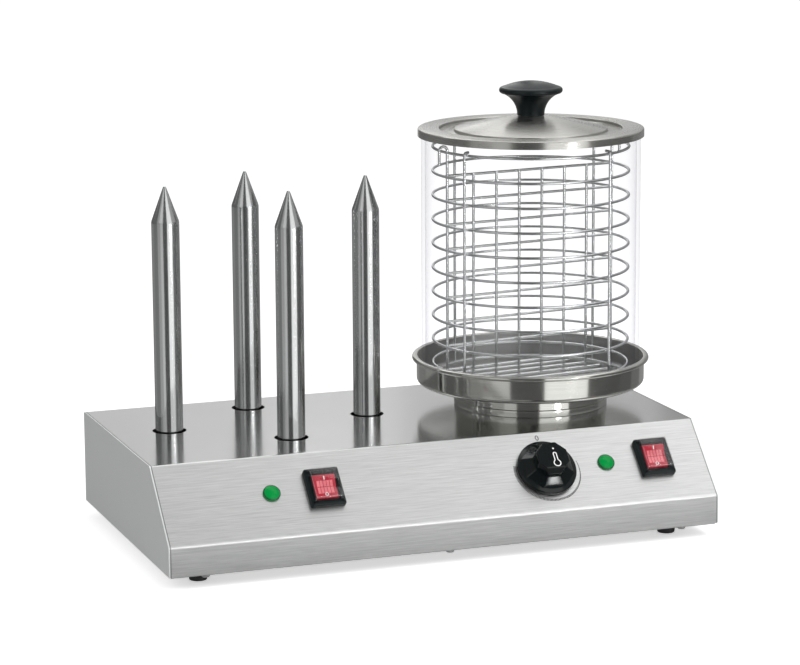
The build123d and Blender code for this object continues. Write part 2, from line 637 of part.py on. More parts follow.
def heating_element():
    """Tubular element bent to a ring, with both ends turned down into the case."""
    ring_angle = 360 - ELEMENT_GAP_ANGLE
    start = 90 + ELEMENT_GAP_ANGLE / 2
    half = math.radians(start)
    end_x, end_y = ELEMENT_RING_RADIUS * math.cos(half), ELEMENT_RING_RADIUS * math.sin(half)
    section = Plane.XZ * Pos(ELEMENT_RING_RADIUS, 0) * Circle(ELEMENT_RADIUS)
    ring = Rot(0, 0, start) * revolve(section, Axis.Z, revolution_arc=ring_angle)
    elbow_section = Plane.XY * Pos(ELEMENT_BEND_RADIUS, 0) * Circle(ELEMENT_RADIUS)
    bend = Axis((0, 0, 0), (0, 1, 0))
    elbow = revolve(elbow_section, bend, revolution_arc=-90)
    leg = rod(ELEMENT_RADIUS, ELEMENT_LEG_LENGTH, ELEMENT_BEND_RADIUS, 0, -ELEMENT_LEG_LENGTH)
    turn_down = Pos(0, 0, -ELEMENT_BEND_RADIUS) * (elbow + leg)
    left = Pos(end_x, end_y, 0) * Rot(0, 0, start - 90) * turn_down
    element = ring + left + mirror(left, Plane.YZ)
    return Pos(PAN_X, PAN_Y, ELEMENT_Z) * element


def heater_clamp_bar():
    """Bar that presses the element against its plate."""
    length = 2 * (ELEMENT_RING_RADIUS + CLAMP_OVERHANG)
    bar = block(length, CLAMP_WIDTH, CLAMP_THICKNESS, z=CLAMP_UNDERSIDE_Z)
    bar -= rod(STUD_RADIUS + CUTOUT_MARGIN, CLAMP_THICKNESS, z=CLAMP_UNDERSIDE_Z)
    return Pos(PAN_X, PAN_Y, 0) * bar


def heater_nut():
    """Nut on the pan's stud, under the clamp bar."""
    return hex_nut(STUD_NUT_FLATS, STUD_NUT_HEIGHT, STUD_RADIUS + SCREW_CLEARANCE, PAN_X, PAN_Y, STUD_NUT_Z)


def safety_cutout():
    """Thermal cut-out against the plate, with two terminals."""
    z = HEAT_PLATE_UNDERSIDE_Z - CUTOUT_HEIGHT
    cutout = rod(CUTOUT_RADIUS, CUTOUT_HEIGHT, z=z)
    for side in (-1, 1):
        cutout += block(TAB_THICKNESS, TAB_WIDTH, TAB_LENGTH, side * CUTOUT_RADIUS / 2, 0, z - TAB_LENGTH)
    return Pos(PAN_X + CUTOUT_OFFSET_X, PAN_Y + CUTOUT_OFFSET_Y, 0) * cutout


def sensor_bulb():
    """Bulb of the thermostat, lying under the plate."""
    bulb = Rot(0, 90, 0) * Cylinder(SENSOR_RADIUS, SENSOR_LENGTH)
    return Pos(PAN_X, PAN_Y + SENSOR_OFFSET_Y, HEAT_PLATE_UNDERSIDE_Z - SENSOR_RADIUS) * bulb


def capillary_tube():
    """Thin copper tube from the bulb to the back of the thermostat, in straight runs and tangent arcs."""
    start = Vector(PAN_X - SENSOR_LENGTH / 2, PAN_Y + SENSOR_OFFSET_Y, HEAT_PLATE_UNDERSIDE_Z - SENSOR_RADIUS)
    back = panel_place(KNOB_X, KNOB_DOWN) * Pos(0, 0, -CASE_SHEET - THERMOSTAT_DEPTH)
    end = back.position
    away = panel_place(KNOB_X, KNOB_DOWN).z_axis.direction * -1
    first = start + Vector(-CAPILLARY_STUB, 0, 0)
    low = Vector(first.X, first.Y, ROOF_UNDERSIDE_Z - 2 * CAPILLARY_STUB)
    last = end + away * (3 * CAPILLARY_STUB)
    turn = Vector(first.X, (low.Y + last.Y) / 2, last.Z)
    route = FilletPolyline(start, first, low, turn, last, end, radius=CAPILLARY_BENDS)
    section = Plane(origin=start, z_dir=(-1, 0, 0)) * Circle(CAPILLARY_RADIUS)
    return sweep(section, path=route)


def thermostat_body():
    """Housing of the thermostat behind the panel, with a bearing for its shaft."""
    body = block(THERMOSTAT_SIDE, THERMOSTAT_SIDE, THERMOSTAT_DEPTH, z=-CASE_SHEET - THERMOSTAT_DEPTH)
    body = fillet(body.edges().filter_by(Axis.Z), THERMOSTAT_CORNER)
    shaft_room = SHAFT_INSIDE + SCREW_END_ROOM
    body -= rod(SHAFT_RADIUS + SHAFT_RUN, shaft_room, z=-CASE_SHEET - shaft_room)
    for side in (-1, 1):
        deep = SCREW_GRIP + SCREW_END_ROOM
        hole = rod(SCREW_RADIUS + SCREW_CLEARANCE, deep, z=-CASE_SHEET - deep)
        body -= Pos(side * THERMOSTAT_SCREW_PITCH / 2, 0, 0) * hole
    return panel_place(KNOB_X, KNOB_DOWN) * body


def thermostat_screws():
    """Screws under the knob that hold the thermostat to the panel."""
    down = Rot(180, 0, 0) * screw(SCREW_RADIUS, CASE_SHEET + SCREW_GRIP, SCREW_HEAD_RADIUS, SCREW_HEAD_HEIGHT)
    place = panel_place(KNOB_X, KNOB_DOWN)
    return [place * Pos(side * THERMOSTAT_SCREW_PITCH / 2, 0, 0) * down for side in (-1, 1)]


def d_shaft(radius, flat, low, high):
    """Round shaft with a flat along it, between two heights."""
    shaft = rod(radius, high - low, z=low)
    return shaft - block(2 * radius, 2 * radius, high - low, 0, 2 * radius - flat, low)


def thermostat_shaft():
    """Shaft from the thermostat into the knob, flattened above the panel."""
    high = KNOB_HEIGHT - KNOB_WALL
    round_part = rod(SHAFT_RADIUS, SHAFT_INSIDE + CASE_SHEET, z=-CASE_SHEET - SHAFT_INSIDE)
    return panel_place(KNOB_X, KNOB_DOWN) * (round_part + d_shaft(SHAFT_RADIUS, SHAFT_FLAT, 0, high))


def octagon(across):
    """Regular eight-sided outline with the given size across its flats, one flat to each side."""
    return RegularPolygon(across / 2, KNOB_SIDES, major_radius=False, rotation=180 / KNOB_SIDES)


def control_knob():
    """Knob with a round skirt and an eight-sided grip that flares to it, hollow around its hub."""
    skirt_points = [
        (0, KNOB_GAP),
        (KNOB_RADIUS, KNOB_GAP),
        (KNOB_RADIUS, KNOB_EDGE_HEIGHT),
        (KNOB_RADIUS - KNOB_CHAMFER, KNOB_EDGE_HEIGHT + KNOB_CHAMFER),
        (KNOB_FLARE / 2, KNOB_SKIRT_HEIGHT),
        (0, KNOB_SKIRT_HEIGHT),
    ]
    waist = KNOB_SKIRT_HEIGHT + KNOB_FLARE_HEIGHT
    shoulder = KNOB_HEIGHT - KNOB_CHAMFER
    flare = loft([
        Pos(0, 0, KNOB_EDGE_HEIGHT) * octagon(KNOB_FLARE),
        Pos(0, 0, waist) * octagon(KNOB_GRIP + KNOB_GRIP_DRAFT),
    ])
    grip = loft([
        Pos(0, 0, waist) * octagon(KNOB_GRIP + KNOB_GRIP_DRAFT),
        Pos(0, 0, shoulder) * octagon(KNOB_GRIP),
    ])
    cap = loft([
        Pos(0, 0, shoulder) * octagon(KNOB_GRIP),
        Pos(0, 0, KNOB_HEIGHT) * octagon(KNOB_GRIP - 2 * KNOB_CHAMFER),
    ])
    knob = turned(skirt_points) + flare + grip + cap
    facet = Rot(-KNOB_FACET_ANGLE, 0, 0) * block(KNOB_GRIP, KNOB_GRIP, KNOB_GRIP, 0, -KNOB_GRIP / 2)
    knob -= Pos(0, KNOB_FACET_WIDTH - KNOB_GRIP / 2, KNOB_HEIGHT) * facet
    knob -= rod(KNOB_RECESS_RADIUS, KNOB_RECESS_HEIGHT - KNOB_GAP, z=KNOB_GAP)
    knob -= rod(KNOB_GRIP / 2 - KNOB_WALL, KNOB_HEIGHT - KNOB_FACET_ROOM - KNOB_GAP, z=KNOB_GAP)
    knob += rod(KNOB_HUB_RADIUS, KNOB_HEIGHT - KNOB_WALL - KNOB_GAP, z=KNOB_GAP)
    knob -= d_shaft(SHAFT_RADIUS, SHAFT_FLAT, 0, KNOB_HEIGHT - KNOB_WALL)
    return panel_place(KNOB_X, KNOB_DOWN) * knob


def switch_frame(x):
    """Black bezel and body of a rocker switch in one moulding, with terminals behind."""
    bezel = extrude(RectangleRounded(BEZEL_WIDTH, BEZEL_LENGTH, BEZEL_CORNER), BEZEL_HEIGHT)
    bezel = chamfer(bezel.edges().group_by(Axis.Z)[-1], BEZEL_CHAMFER)
    deep = CASE_SHEET + SWITCH_BODY_DEPTH
    body = block(SWITCH_BODY_WIDTH, SWITCH_BODY_LENGTH, deep, z=-deep)
    pocket_length = 2 * (ROCKER_RADIUS + ROCKER_GAP)
    pocket_width = ROCKER_WIDTH + 2 * ROCKER_GAP
    pocket_deep = ROCKER_DEPTH + ROCKER_PIVOT_HEIGHT + ROCKER_GAP
    frame = bezel + body - block(pocket_width, pocket_length, pocket_deep + BEZEL_HEIGHT, z=-pocket_deep)
    pin_reach = pocket_width + 2 * ROCKER_PIN_LENGTH
    pin_hole = Rot(0, 90, 0) * Cylinder(ROCKER_PIN_RADIUS + ROCKER_PIN_RUN, pin_reach)
    frame -= Pos(0, 0, ROCKER_PIVOT_HEIGHT) * pin_hole
    for side in (-1, 1):
        for row in (-1, 1):
            place = (side * SWITCH_TAB_OUT_X, row * SWITCH_TAB_OUT_Y, -deep - TAB_LENGTH)
            frame += block(TAB_WIDTH, TAB_THICKNESS, TAB_LENGTH, *place)
    return panel_place(x, SWITCH_DOWN) * frame


def switch_rocker(x):
    """Red rocker with a dished face, shown with its lower end pressed in."""
    low = (-ROCKER_RADIUS, -ROCKER_DEPTH)
    dish = ROCKER_RADIUS * math.tan(math.radians(ROCKER_DISH_ANGLE))
    middle = ROCKER_CREST - dish
    outline = [low, (ROCKER_RADIUS, -ROCKER_DEPTH), (ROCKER_RADIUS, ROCKER_CREST), (0, middle)]
    outline.append((-ROCKER_RADIUS, ROCKER_CREST))
    profile = make_face(Polyline(*outline, close=True)) & Circle(ROCKER_RADIUS)
    rocker = extrude(Plane.YZ * profile, amount=ROCKER_WIDTH / 2, both=True)
    pin_reach = ROCKER_WIDTH + 2 * ROCKER_GAP + 2 * ROCKER_PIN_LENGTH - 2 * SHAFT_RUN
    rocker += Rot(0, 90, 0) * Cylinder(ROCKER_PIN_RADIUS, pin_reach)
    pivot = panel_place(x, SWITCH_DOWN) * Pos(0, 0, ROCKER_PIVOT_HEIGHT)
    return pivot * Rot(ROCKER_TILT, 0, 0) * rocker


def switch_cover(x):
    """Clear splash cover over the rocker, standing on the bezel."""
    outer = extrude(RectangleRounded(COVER_WIDTH, COVER_LENGTH, COVER_CORNER), COVER_HEIGHT)
    outer = fillet(outer.edges().group_by(Axis.Z)[-1], COVER_CORNER)
    inner_width = COVER_WIDTH - 2 * COVER_WALL
    inner_length = COVER_LENGTH - 2 * COVER_WALL
    inner = extrude(RectangleRounded(inner_width, inner_length, COVER_WALL), COVER_HEIGHT - COVER_WALL)
    return panel_place(x, SWITCH_DOWN) * Pos(0, 0, BEZEL_HEIGHT) * (outer - inner)


def pilot_lens(x):
    """Green lens of a pilot lamp, with a stem through the panel."""
    points = [(0, LENS_HEIGHT), (0, -CASE_SHEET - LENS_STEM_LENGTH)]
    points += [(LENS_STEM_RADIUS, -CASE_SHEET - LENS_STEM_LENGTH), (LENS_STEM_RADIUS, 0)]
    points += [(LENS_RADIUS, 0), (LENS_RADIUS, LENS_RIM_HEIGHT)]
    rim = Polyline(*points)
    dome = dome_arc(LENS_RADIUS, LENS_RIM_HEIGHT, LENS_HEIGHT)
    section = Plane.XZ * make_face([*rim.edges(), *dome.edges()])
    return panel_place(x, LAMP_DOWN) * revolve(section, Axis.Z)


def pilot_lamp_body(x):
    """Lamp holder behind the panel that grips the stem of the lens."""
    body = rod(LAMP_BODY_RADIUS, LAMP_BODY_LENGTH, z=-CASE_SHEET - LAMP_BODY_LENGTH)
    stem_room = LENS_STEM_LENGTH + LAMP_HOLE_CLEARANCE
    body -= rod(LENS_STEM_RADIUS + LAMP_HOLE_CLEARANCE, stem_room, z=-CASE_SHEET - stem_room)
    for side in (-1, 1):
        z = -CASE_SHEET - LAMP_BODY_LENGTH - TAB_LENGTH
        body += block(TAB_THICKNESS, TAB_WIDTH, TAB_LENGTH, side * LAMP_BODY_RADIUS / 2, 0, z)
    return panel_place(x, LAMP_DOWN) * body


def gland_height():
    """Height of the mains inlet's axis."""
    return CASE_BOTTOM_Z + GLAND_ABOVE_CASE_BOTTOM


def gland_place():
    """Frame at the back wall whose Z points out of the case."""
    return Plane(origin=(GLAND_X, BACK_Y, gland_height()), x_dir=(1, 0, 0), z_dir=(0, 1, 0)).location


def cable_gland():
    """Gland in the back wall with a through bore for the mains cable."""
    head = extrude(RegularPolygon(GLAND_FLATS / 2, 6, major_radius=False), GLAND_REACH)
    inside = CASE_SHEET + GLAND_INSIDE
    gland = head + rod(GLAND_THREAD_RADIUS, inside, z=-inside)
    return gland_place() * (gland - rod(GLAND_BORE_RADIUS, inside + GLAND_REACH, z=-inside))


def gland_nut():
    """Lock nut of the gland, inside the back wall."""
    z = -CASE_SHEET - GLAND_NUT_HEIGHT
    bore = GLAND_THREAD_RADIUS + SCREW_CLEARANCE
    return gland_place() * hex_nut(GLAND_NUT_FLATS, GLAND_NUT_HEIGHT, bore, z=z)


def terminal_block():
    """Three-way terminal block on the base plate, with a screw well above each wire entry."""
    body = block(TERMINAL_BLOCK_LENGTH, TERMINAL_BLOCK_WIDTH, TERMINAL_BLOCK_HEIGHT)
    pitch = TERMINAL_BLOCK_LENGTH / TERMINAL_COUNT
    middle = TERMINAL_BLOCK_HEIGHT / 2
    for step in range(TERMINAL_COUNT):
        shift = (step - (TERMINAL_COUNT - 1) / 2) * pitch
        body -= rod(TERMINAL_HOLE_RADIUS, middle, shift, 0, middle)
        entry = Rot(90, 0, 0) * Cylinder(TERMINAL_HOLE_RADIUS, TERMINAL_BLOCK_WIDTH)
        body -= Pos(shift, 0, middle) * entry
    return Pos(GLAND_X, BACK_Y - TERMINAL_FROM_BACK, CASE_BOTTOM_Z) * body


def earth_stud_place():
    """Centre of the earth stud, as (x, y)."""
    return GLAND_X - EARTH_STUD_FROM_GLAND, BACK_Y - EARTH_STUD_FROM_BACK


def earth_stud():
    """Stud welded into the base plate, with its nut."""
    x, y = earth_stud_place()
    stud = rod(EARTH_STUD_RADIUS, EARTH_STUD_LENGTH, x, y, FOOT_HEIGHT)
    return stud + hex_nut(EARTH_NUT_FLATS, EARTH_NUT_HEIGHT, EARTH_STUD_RADIUS, x, y, CASE_BOTTOM_Z)


def glass_cylinder():
    """Open glass cylinder that stands in the pan."""
    tube = rod(GLASS_RADIUS, GLASS_LENGTH, PAN_X, PAN_Y, PAN_FLOOR_Z)
    return tube - rod(GLASS_RADIUS - GLASS_WALL, GLASS_LENGTH, PAN_X, PAN_Y, PAN_FLOOR_Z)


def in_basket(shape, angle=0.0):
    """Put a piece that is drawn about the basket's own axis in its place."""
    return Pos(PAN_X, PAN_Y, 0) * Rot(0, 0, angle) * shape


def basket_rings():
    """All hoops of the basket, the lowest one under its floor's ends."""
    levels = [BOTTOM_RING_Z] + [FIRST_RING_Z + step * BASKET_PITCH for step in range(BASKET_RINGS)]
    return [in_basket(Pos(0, 0, z) * Torus(RING_RADIUS, WIRE_RADIUS)) for z in levels]


def basket_uprights():
    """Four wires outside the hoops, whose tops bend in over the top hoop."""
    wires = []
    top = TOP_RING_Z + WIRE_PITCH
    low = BOTTOM_RING_Z - WIRE_RADIUS
    for step in range(UPRIGHT_COUNT):
        path = FilletPolyline((UPRIGHT_RADIUS, 0, low), (UPRIGHT_RADIUS, 0, top), (DIVIDER_HALF, 0, top),
                              radius=WIRE_PITCH)
        section = Plane(origin=path @ 0, z_dir=path % 0) * Circle(WIRE_RADIUS)
        wires.append(in_basket(sweep(section, path=path), UPRIGHT_ANGLE + 360 / UPRIGHT_COUNT * step))
    return wires


def basket_divider():
    """Upright grille across the basket: bars on one side, cross wires on the other."""
    low = BOTTOM_RING_Z + WIRE_RADIUS
    top = TOP_RING_Z - BASKET_PITCH + WIRE_RADIUS
    wires = []
    for step in range(DIVIDER_BARS):
        x = (step - (DIVIDER_BARS - 1) / 2) * DIVIDER_BAR_PITCH
        wires.append(rod(WIRE_RADIUS, top - low, x, 0, low))
    for step in range(BASKET_RINGS - 1):
        z = TOP_RING_Z - (step + 1) * BASKET_PITCH
        bar = Rot(0, 90, 0) * Cylinder(WIRE_RADIUS, 2 * DIVIDER_HALF)
        wires.append(Pos(0, 2 * WIRE_RADIUS, z) * bar)
    return [in_basket(wire, DIVIDER_ANGLE) for wire in wires]


def basket_hooks():
    """End wires of the divider, bent over the top hoop so that the basket can hang on the glass."""
    reach = DIVIDER_HALF + 2 * HOOK_BEND_RADIUS
    spring = TOP_RING_Z + HOOK_RISE
    low = BOTTOM_RING_Z - WIRE_RADIUS
    wires = []
    for turn in (0, 180):
        leg = Line((DIVIDER_HALF, 0, low), (DIVIDER_HALF, 0, spring))
        middle = (DIVIDER_HALF + HOOK_BEND_RADIUS, 0, spring + HOOK_BEND_RADIUS)
        arch = ThreePointArc(leg @ 1, middle, (reach, 0, spring))
        drop = Line(arch @ 1, (reach, 0, TOP_RING_Z - HOOK_DROP))
        path = Wire([*leg.edges(), *arch.edges(), *drop.edges()])
        section = Plane(origin=(DIVIDER_HALF, 0, low), z_dir=(0, 0, 1)) * Circle(WIRE_RADIUS)
        wires.append(in_basket(sweep(section, path=path), DIVIDER_ANGLE + turn))
    return wires


def basket_floor():
    """Parallel wires under the lowest hoop, which the sausages stand on."""
    wires = []
    for step in range(FLOOR_WIRE_COUNT):
        y = (step - (FLOOR_WIRE_COUNT - 1) / 2) * FLOOR_WIRE_PITCH
        half = math.sqrt(RING_RADIUS ** 2 - y ** 2)
        wire = Rot(0, 90, 0) * Cylinder(WIRE_RADIUS, 2 * half)
        wires.append(in_basket(Pos(0, y, FLOOR_WIRE_Z) * wire, DIVIDER_ANGLE))
    return wires


def lid_shell():
    """Pressed lid with a skirt, a groove and a dome that carries the knob."""
    sheet = LID_SHEET
    top = LID_TOP_Z
    corner = LID_EDGE_RADIUS * (1 - math.sqrt(0.5))
    groove = top - GROOVE_DEPTH
    dome = groove + DOME_STEP
    bottom = top - LID_SKIRT_HEIGHT
    slant = sheet / math.cos(math.atan2(DOME_RISE, GROOVE_INNER_RADIUS - DOME_SEAT_RADIUS))
    outside = [
        (LID_RADIUS, bottom),
        (LID_RADIUS, top - LID_EDGE_RADIUS),
        (LID_RADIUS - corner, top - corner),
        (LID_RADIUS - LID_EDGE_RADIUS, top),
        (GROOVE_OUTER_RADIUS, top),
        (GROOVE_OUTER_RADIUS, groove),
        (GROOVE_INNER_RADIUS, groove),
        (GROOVE_INNER_RADIUS, dome),
        (DOME_SEAT_RADIUS, LID_KNOB_Z),
        (LID_SCREW_RADIUS + SCREW_CLEARANCE, LID_KNOB_Z),
    ]
    inside = [
        (LID_SCREW_RADIUS + SCREW_CLEARANCE, LID_KNOB_Z - sheet),
        (DOME_SEAT_RADIUS, LID_KNOB_Z - sheet),
        (GROOVE_INNER_RADIUS - sheet, dome - slant),
        (GROOVE_INNER_RADIUS - sheet, groove - sheet),
        (GROOVE_OUTER_RADIUS + sheet, groove - sheet),
        (GROOVE_OUTER_RADIUS + sheet, top - sheet),
        (LID_RADIUS - sheet, top - sheet),
        (LID_RADIUS - sheet, bottom),
    ]
    return turned(outside + inside, PAN_X, PAN_Y)


def lid_knob():
    """Mushroom-shaped knob with a waist, and a blind hole for its screw."""
    bore = LID_SCREW_RADIUS + SCREW_CLEARANCE
    rim_low = LID_KNOB_RIM - LID_KNOB_RIM_THICKNESS / 2
    rim_high = LID_KNOB_RIM + LID_KNOB_RIM_THICKNESS / 2
    edge = LID_KNOB_RADIUS - LID_KNOB_RIM_THICKNESS / 2
    waist = Spline((LID_KNOB_BASE_RADIUS, 0), (LID_KNOB_WAIST_RADIUS, LID_KNOB_WAIST_HEIGHT), (edge, rim_low),
                   tangents=((0, 1), (1, 0)))
    rim = ThreePointArc((edge, rim_low), (LID_KNOB_RADIUS, LID_KNOB_RIM), (edge, rim_high))
    crown = dome_arc(edge, rim_high, LID_KNOB_HEIGHT)
    blind = LID_SCREW_GRIP + SCREW_END_ROOM
    inside = Polyline((0, LID_KNOB_HEIGHT), (0, blind), (bore, blind), (bore, 0), (LID_KNOB_BASE_RADIUS, 0))
    section = Plane.XZ * make_face([*waist.edges(), *rim.edges(), *crown.edges(), *inside.edges()])
    return Pos(PAN_X, PAN_Y, LID_KNOB_Z) * revolve(section, Axis.Z)


def lid_knob_screw():
    """Screw from inside the lid into the knob."""
    length = LID_SHEET + LID_SCREW_GRIP
    place = (PAN_X, PAN_Y, LID_KNOB_Z - LID_SHEET)
    return screw(LID_SCREW_RADIUS, length, LID_SCREW_HEAD_RADIUS, LID_SCREW_HEAD_HEIGHT, *place)


def group(solids):
    """Several separate solids of one node."""
    return Compound(children=list(solids))


def write_case():
    """Case, base plate, feet and their fasteners."""
    save(casing_shell(), "casing_shell")
    save(side_panel(-1), "side_panel_left")
    save(side_panel(1), "side_panel_right")
    save(base_plate(), "base_plate")
    save(group(base_plate_screws()), "base_plate_screws")
    corners = ("front_left", "front_right", "back_left", "back_right")
    for corner, (x, y) in zip(corners, foot_places()):
        save(rubber_foot(x, y), "rubber_foot_" + corner)
    save(group(foot_screws()), "foot_screws")
    save(group(foot_nuts()), "foot_nuts")


def write_toaster():
    """Spikes, their heaters and their carrier."""
    save(spike_carrier(), "spike_carrier")
    save(group(spike_nuts()), "spike_nuts")
    for name, (x, y) in zip(("left", "front", "back", "right"), SPIKE_PLACES):
        save(toast_spike(x, y), "toast_spike_" + name)
        save(spike_heater(x, y), "spike_heater_" + name)


def write_pan():
    """Pan, collar and heater."""
    save(neck_collar(), "neck_collar")
    save(group(neck_screws()), "neck_screws")
    save(water_pan(), "water_pan")
    save(heating_plate(), "heating_plate")
    save(heating_element(), "heating_element")
    save(heater_clamp_bar(), "heater_clamp_bar")
    save(heater_nut(), "heater_nut")
    save(safety_cutout(), "safety_cutout")
    save(sensor_bulb(), "sensor_bulb")
    save(capillary_tube(), "capillary_tube")


def write_controls():
    """Thermostat, knob, switches, lamps and mains inlet."""
    save(thermostat_body(), "thermostat_body")
    save(group(thermostat_screws()), "thermostat_screws")
    save(thermostat_shaft(), "thermostat_shaft")
    save(control_knob(), "control_knob")
    for side, x in (("left", LEFT_SWITCH_X), ("right", RIGHT_SWITCH_X)):
        save(switch_frame(x), "switch_frame_" + side)
        save(switch_rocker(x), "switch_rocker_" + side)
        save(switch_cover(x), "switch_cover_" + side)
    for side, x in (("left", LEFT_LAMP_X), ("right", RIGHT_LAMP_X)):
        save(pilot_lens(x), "pilot_lens_" + side)
        save(pilot_lamp_body(x), "pilot_lamp_body_" + side)
    save(cable_gland(), "cable_gland")
    save(gland_nut(), "gland_nut")
    save(terminal_block(), "terminal_block")
    save(earth_stud(), "earth_stud")


def write_warmer():
    """Glass, basket and lid."""
    save(glass_cylinder(), "glass_cylinder")
    save(group(basket_rings()), "basket_rings")
    save(group(basket_uprights()), "basket_uprights")
    save(group(basket_divider()), "basket_divider")
    save(group(basket_hooks()), "basket_hooks")
    save(group(basket_floor()), "basket_floor")
    save(lid_shell(), "lid_shell")
    save(lid_knob(), "lid_knob")
    save(lid_knob_screw(), "lid_knob_screw")


os.makedirs("parts", exist_ok=True)
write_case()
write_toaster()
write_pan()
write_controls()
write_warmer()
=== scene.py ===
"""Looks of a hot dog warmer with four toast spikes, built round its packed frame.

Sizes are in millimetres, as in the part's source, and each mesh is brought to metres when it is finished.
"""

import logging
import math
from dataclasses import dataclass, field
from enum import Enum
from typing import Any, Callable, Iterable, Optional, Sequence, Union

import bmesh
import bpy
from mathutils import Matrix, Vector


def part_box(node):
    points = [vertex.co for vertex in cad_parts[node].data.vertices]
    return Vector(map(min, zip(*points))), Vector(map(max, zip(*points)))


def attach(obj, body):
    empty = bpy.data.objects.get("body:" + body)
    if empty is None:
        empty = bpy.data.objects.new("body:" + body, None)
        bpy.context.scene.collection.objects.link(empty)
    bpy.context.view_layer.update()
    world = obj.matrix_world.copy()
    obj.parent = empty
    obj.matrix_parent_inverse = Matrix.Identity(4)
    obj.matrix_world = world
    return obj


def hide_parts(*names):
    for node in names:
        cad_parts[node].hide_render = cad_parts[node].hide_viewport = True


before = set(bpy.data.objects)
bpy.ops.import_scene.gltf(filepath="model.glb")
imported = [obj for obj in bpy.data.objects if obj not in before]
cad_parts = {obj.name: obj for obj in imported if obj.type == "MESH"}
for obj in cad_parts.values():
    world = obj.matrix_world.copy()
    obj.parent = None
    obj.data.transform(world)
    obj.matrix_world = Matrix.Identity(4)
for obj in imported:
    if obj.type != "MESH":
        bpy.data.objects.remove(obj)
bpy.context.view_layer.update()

# One millimetre in metres.
MM = 0.001
# Lengths in millimetres: points nearer than the first are merged.
WELD = 0.001
INK_THICKNESS = 0.05
INK_LIFT = 0.02
LOG = logging.getLogger("warmer")

ORIGIN = (0.0, 0.0, 0.0)
UP = (0.0, 0.0, 1.0)

Colour = tuple[float, float, float]
Point = tuple[float, float]
Spot = tuple[float, float, float]
Mesh = bmesh.types.BMesh
Vert = bmesh.types.BMVert
Edge = bmesh.types.BMEdge
Face = bmesh.types.BMFace


class Grain(Enum):
    """Way in which a metal surface was brushed or drawn."""

    ALONG_X = "straight lines along the width"
    UPRIGHT = "straight lines up and down"
    AROUND = "circles about an upright axis"


class Link:
    """Output of a shader node that can be used in Python expressions."""

    def __init__(self, paint: "Paint", socket: bpy.types.NodeSocket) -> None:
        """Wrap a socket.

        Args:
            paint: node tree that the socket belongs to.
            socket: output socket.
        """
        self.paint = paint
        self.socket = socket

    def math(self, operation: str, first: "Value", second: "Value") -> "Link":
        """Add a Math node.

        Args:
            operation: name of the Math node's operation.
            first: first value or link.
            second: second value or link.

        Returns:
            The node's result.
        """
        return self.paint.add("ShaderNodeMath", {"operation": operation}, {0: first, 1: second})

    def __add__(self, other: "Value") -> "Link":
        """Sum."""
        return self.math("ADD", self, other)

    def __radd__(self, other: "Value") -> "Link":
        """Sum with the number in front."""
        return self.math("ADD", other, self)

    def __sub__(self, other: "Value") -> "Link":
        """Difference."""
        return self.math("SUBTRACT", self, other)

    def __rsub__(self, other: "Value") -> "Link":
        """Difference from a number."""
        return self.math("SUBTRACT", other, self)

    def __mul__(self, other: "Value") -> "Link":
        """Product."""
        return self.math("MULTIPLY", self, other)

    def __rmul__(self, other: "Value") -> "Link":
        """Product with the number in front."""
        return self.math("MULTIPLY", other, self)

    def __truediv__(self, other: "Value") -> "Link":
        """Quotient."""
        return self.math("DIVIDE", self, other)

    def __pow__(self, other: "Value") -> "Link":
        """Power."""
        return self.math("POWER", self, other)

    def above(self, limit: "Value") -> "Link":
        """One where the value is more than the limit, and zero elsewhere."""
        return self.math("GREATER_THAN", self, limit)

    def largest(self, other: "Value") -> "Link":
        """Larger of two values."""
        return self.math("MAXIMUM", self, other)


Value = Union[Link, float, int, Sequence[float]]


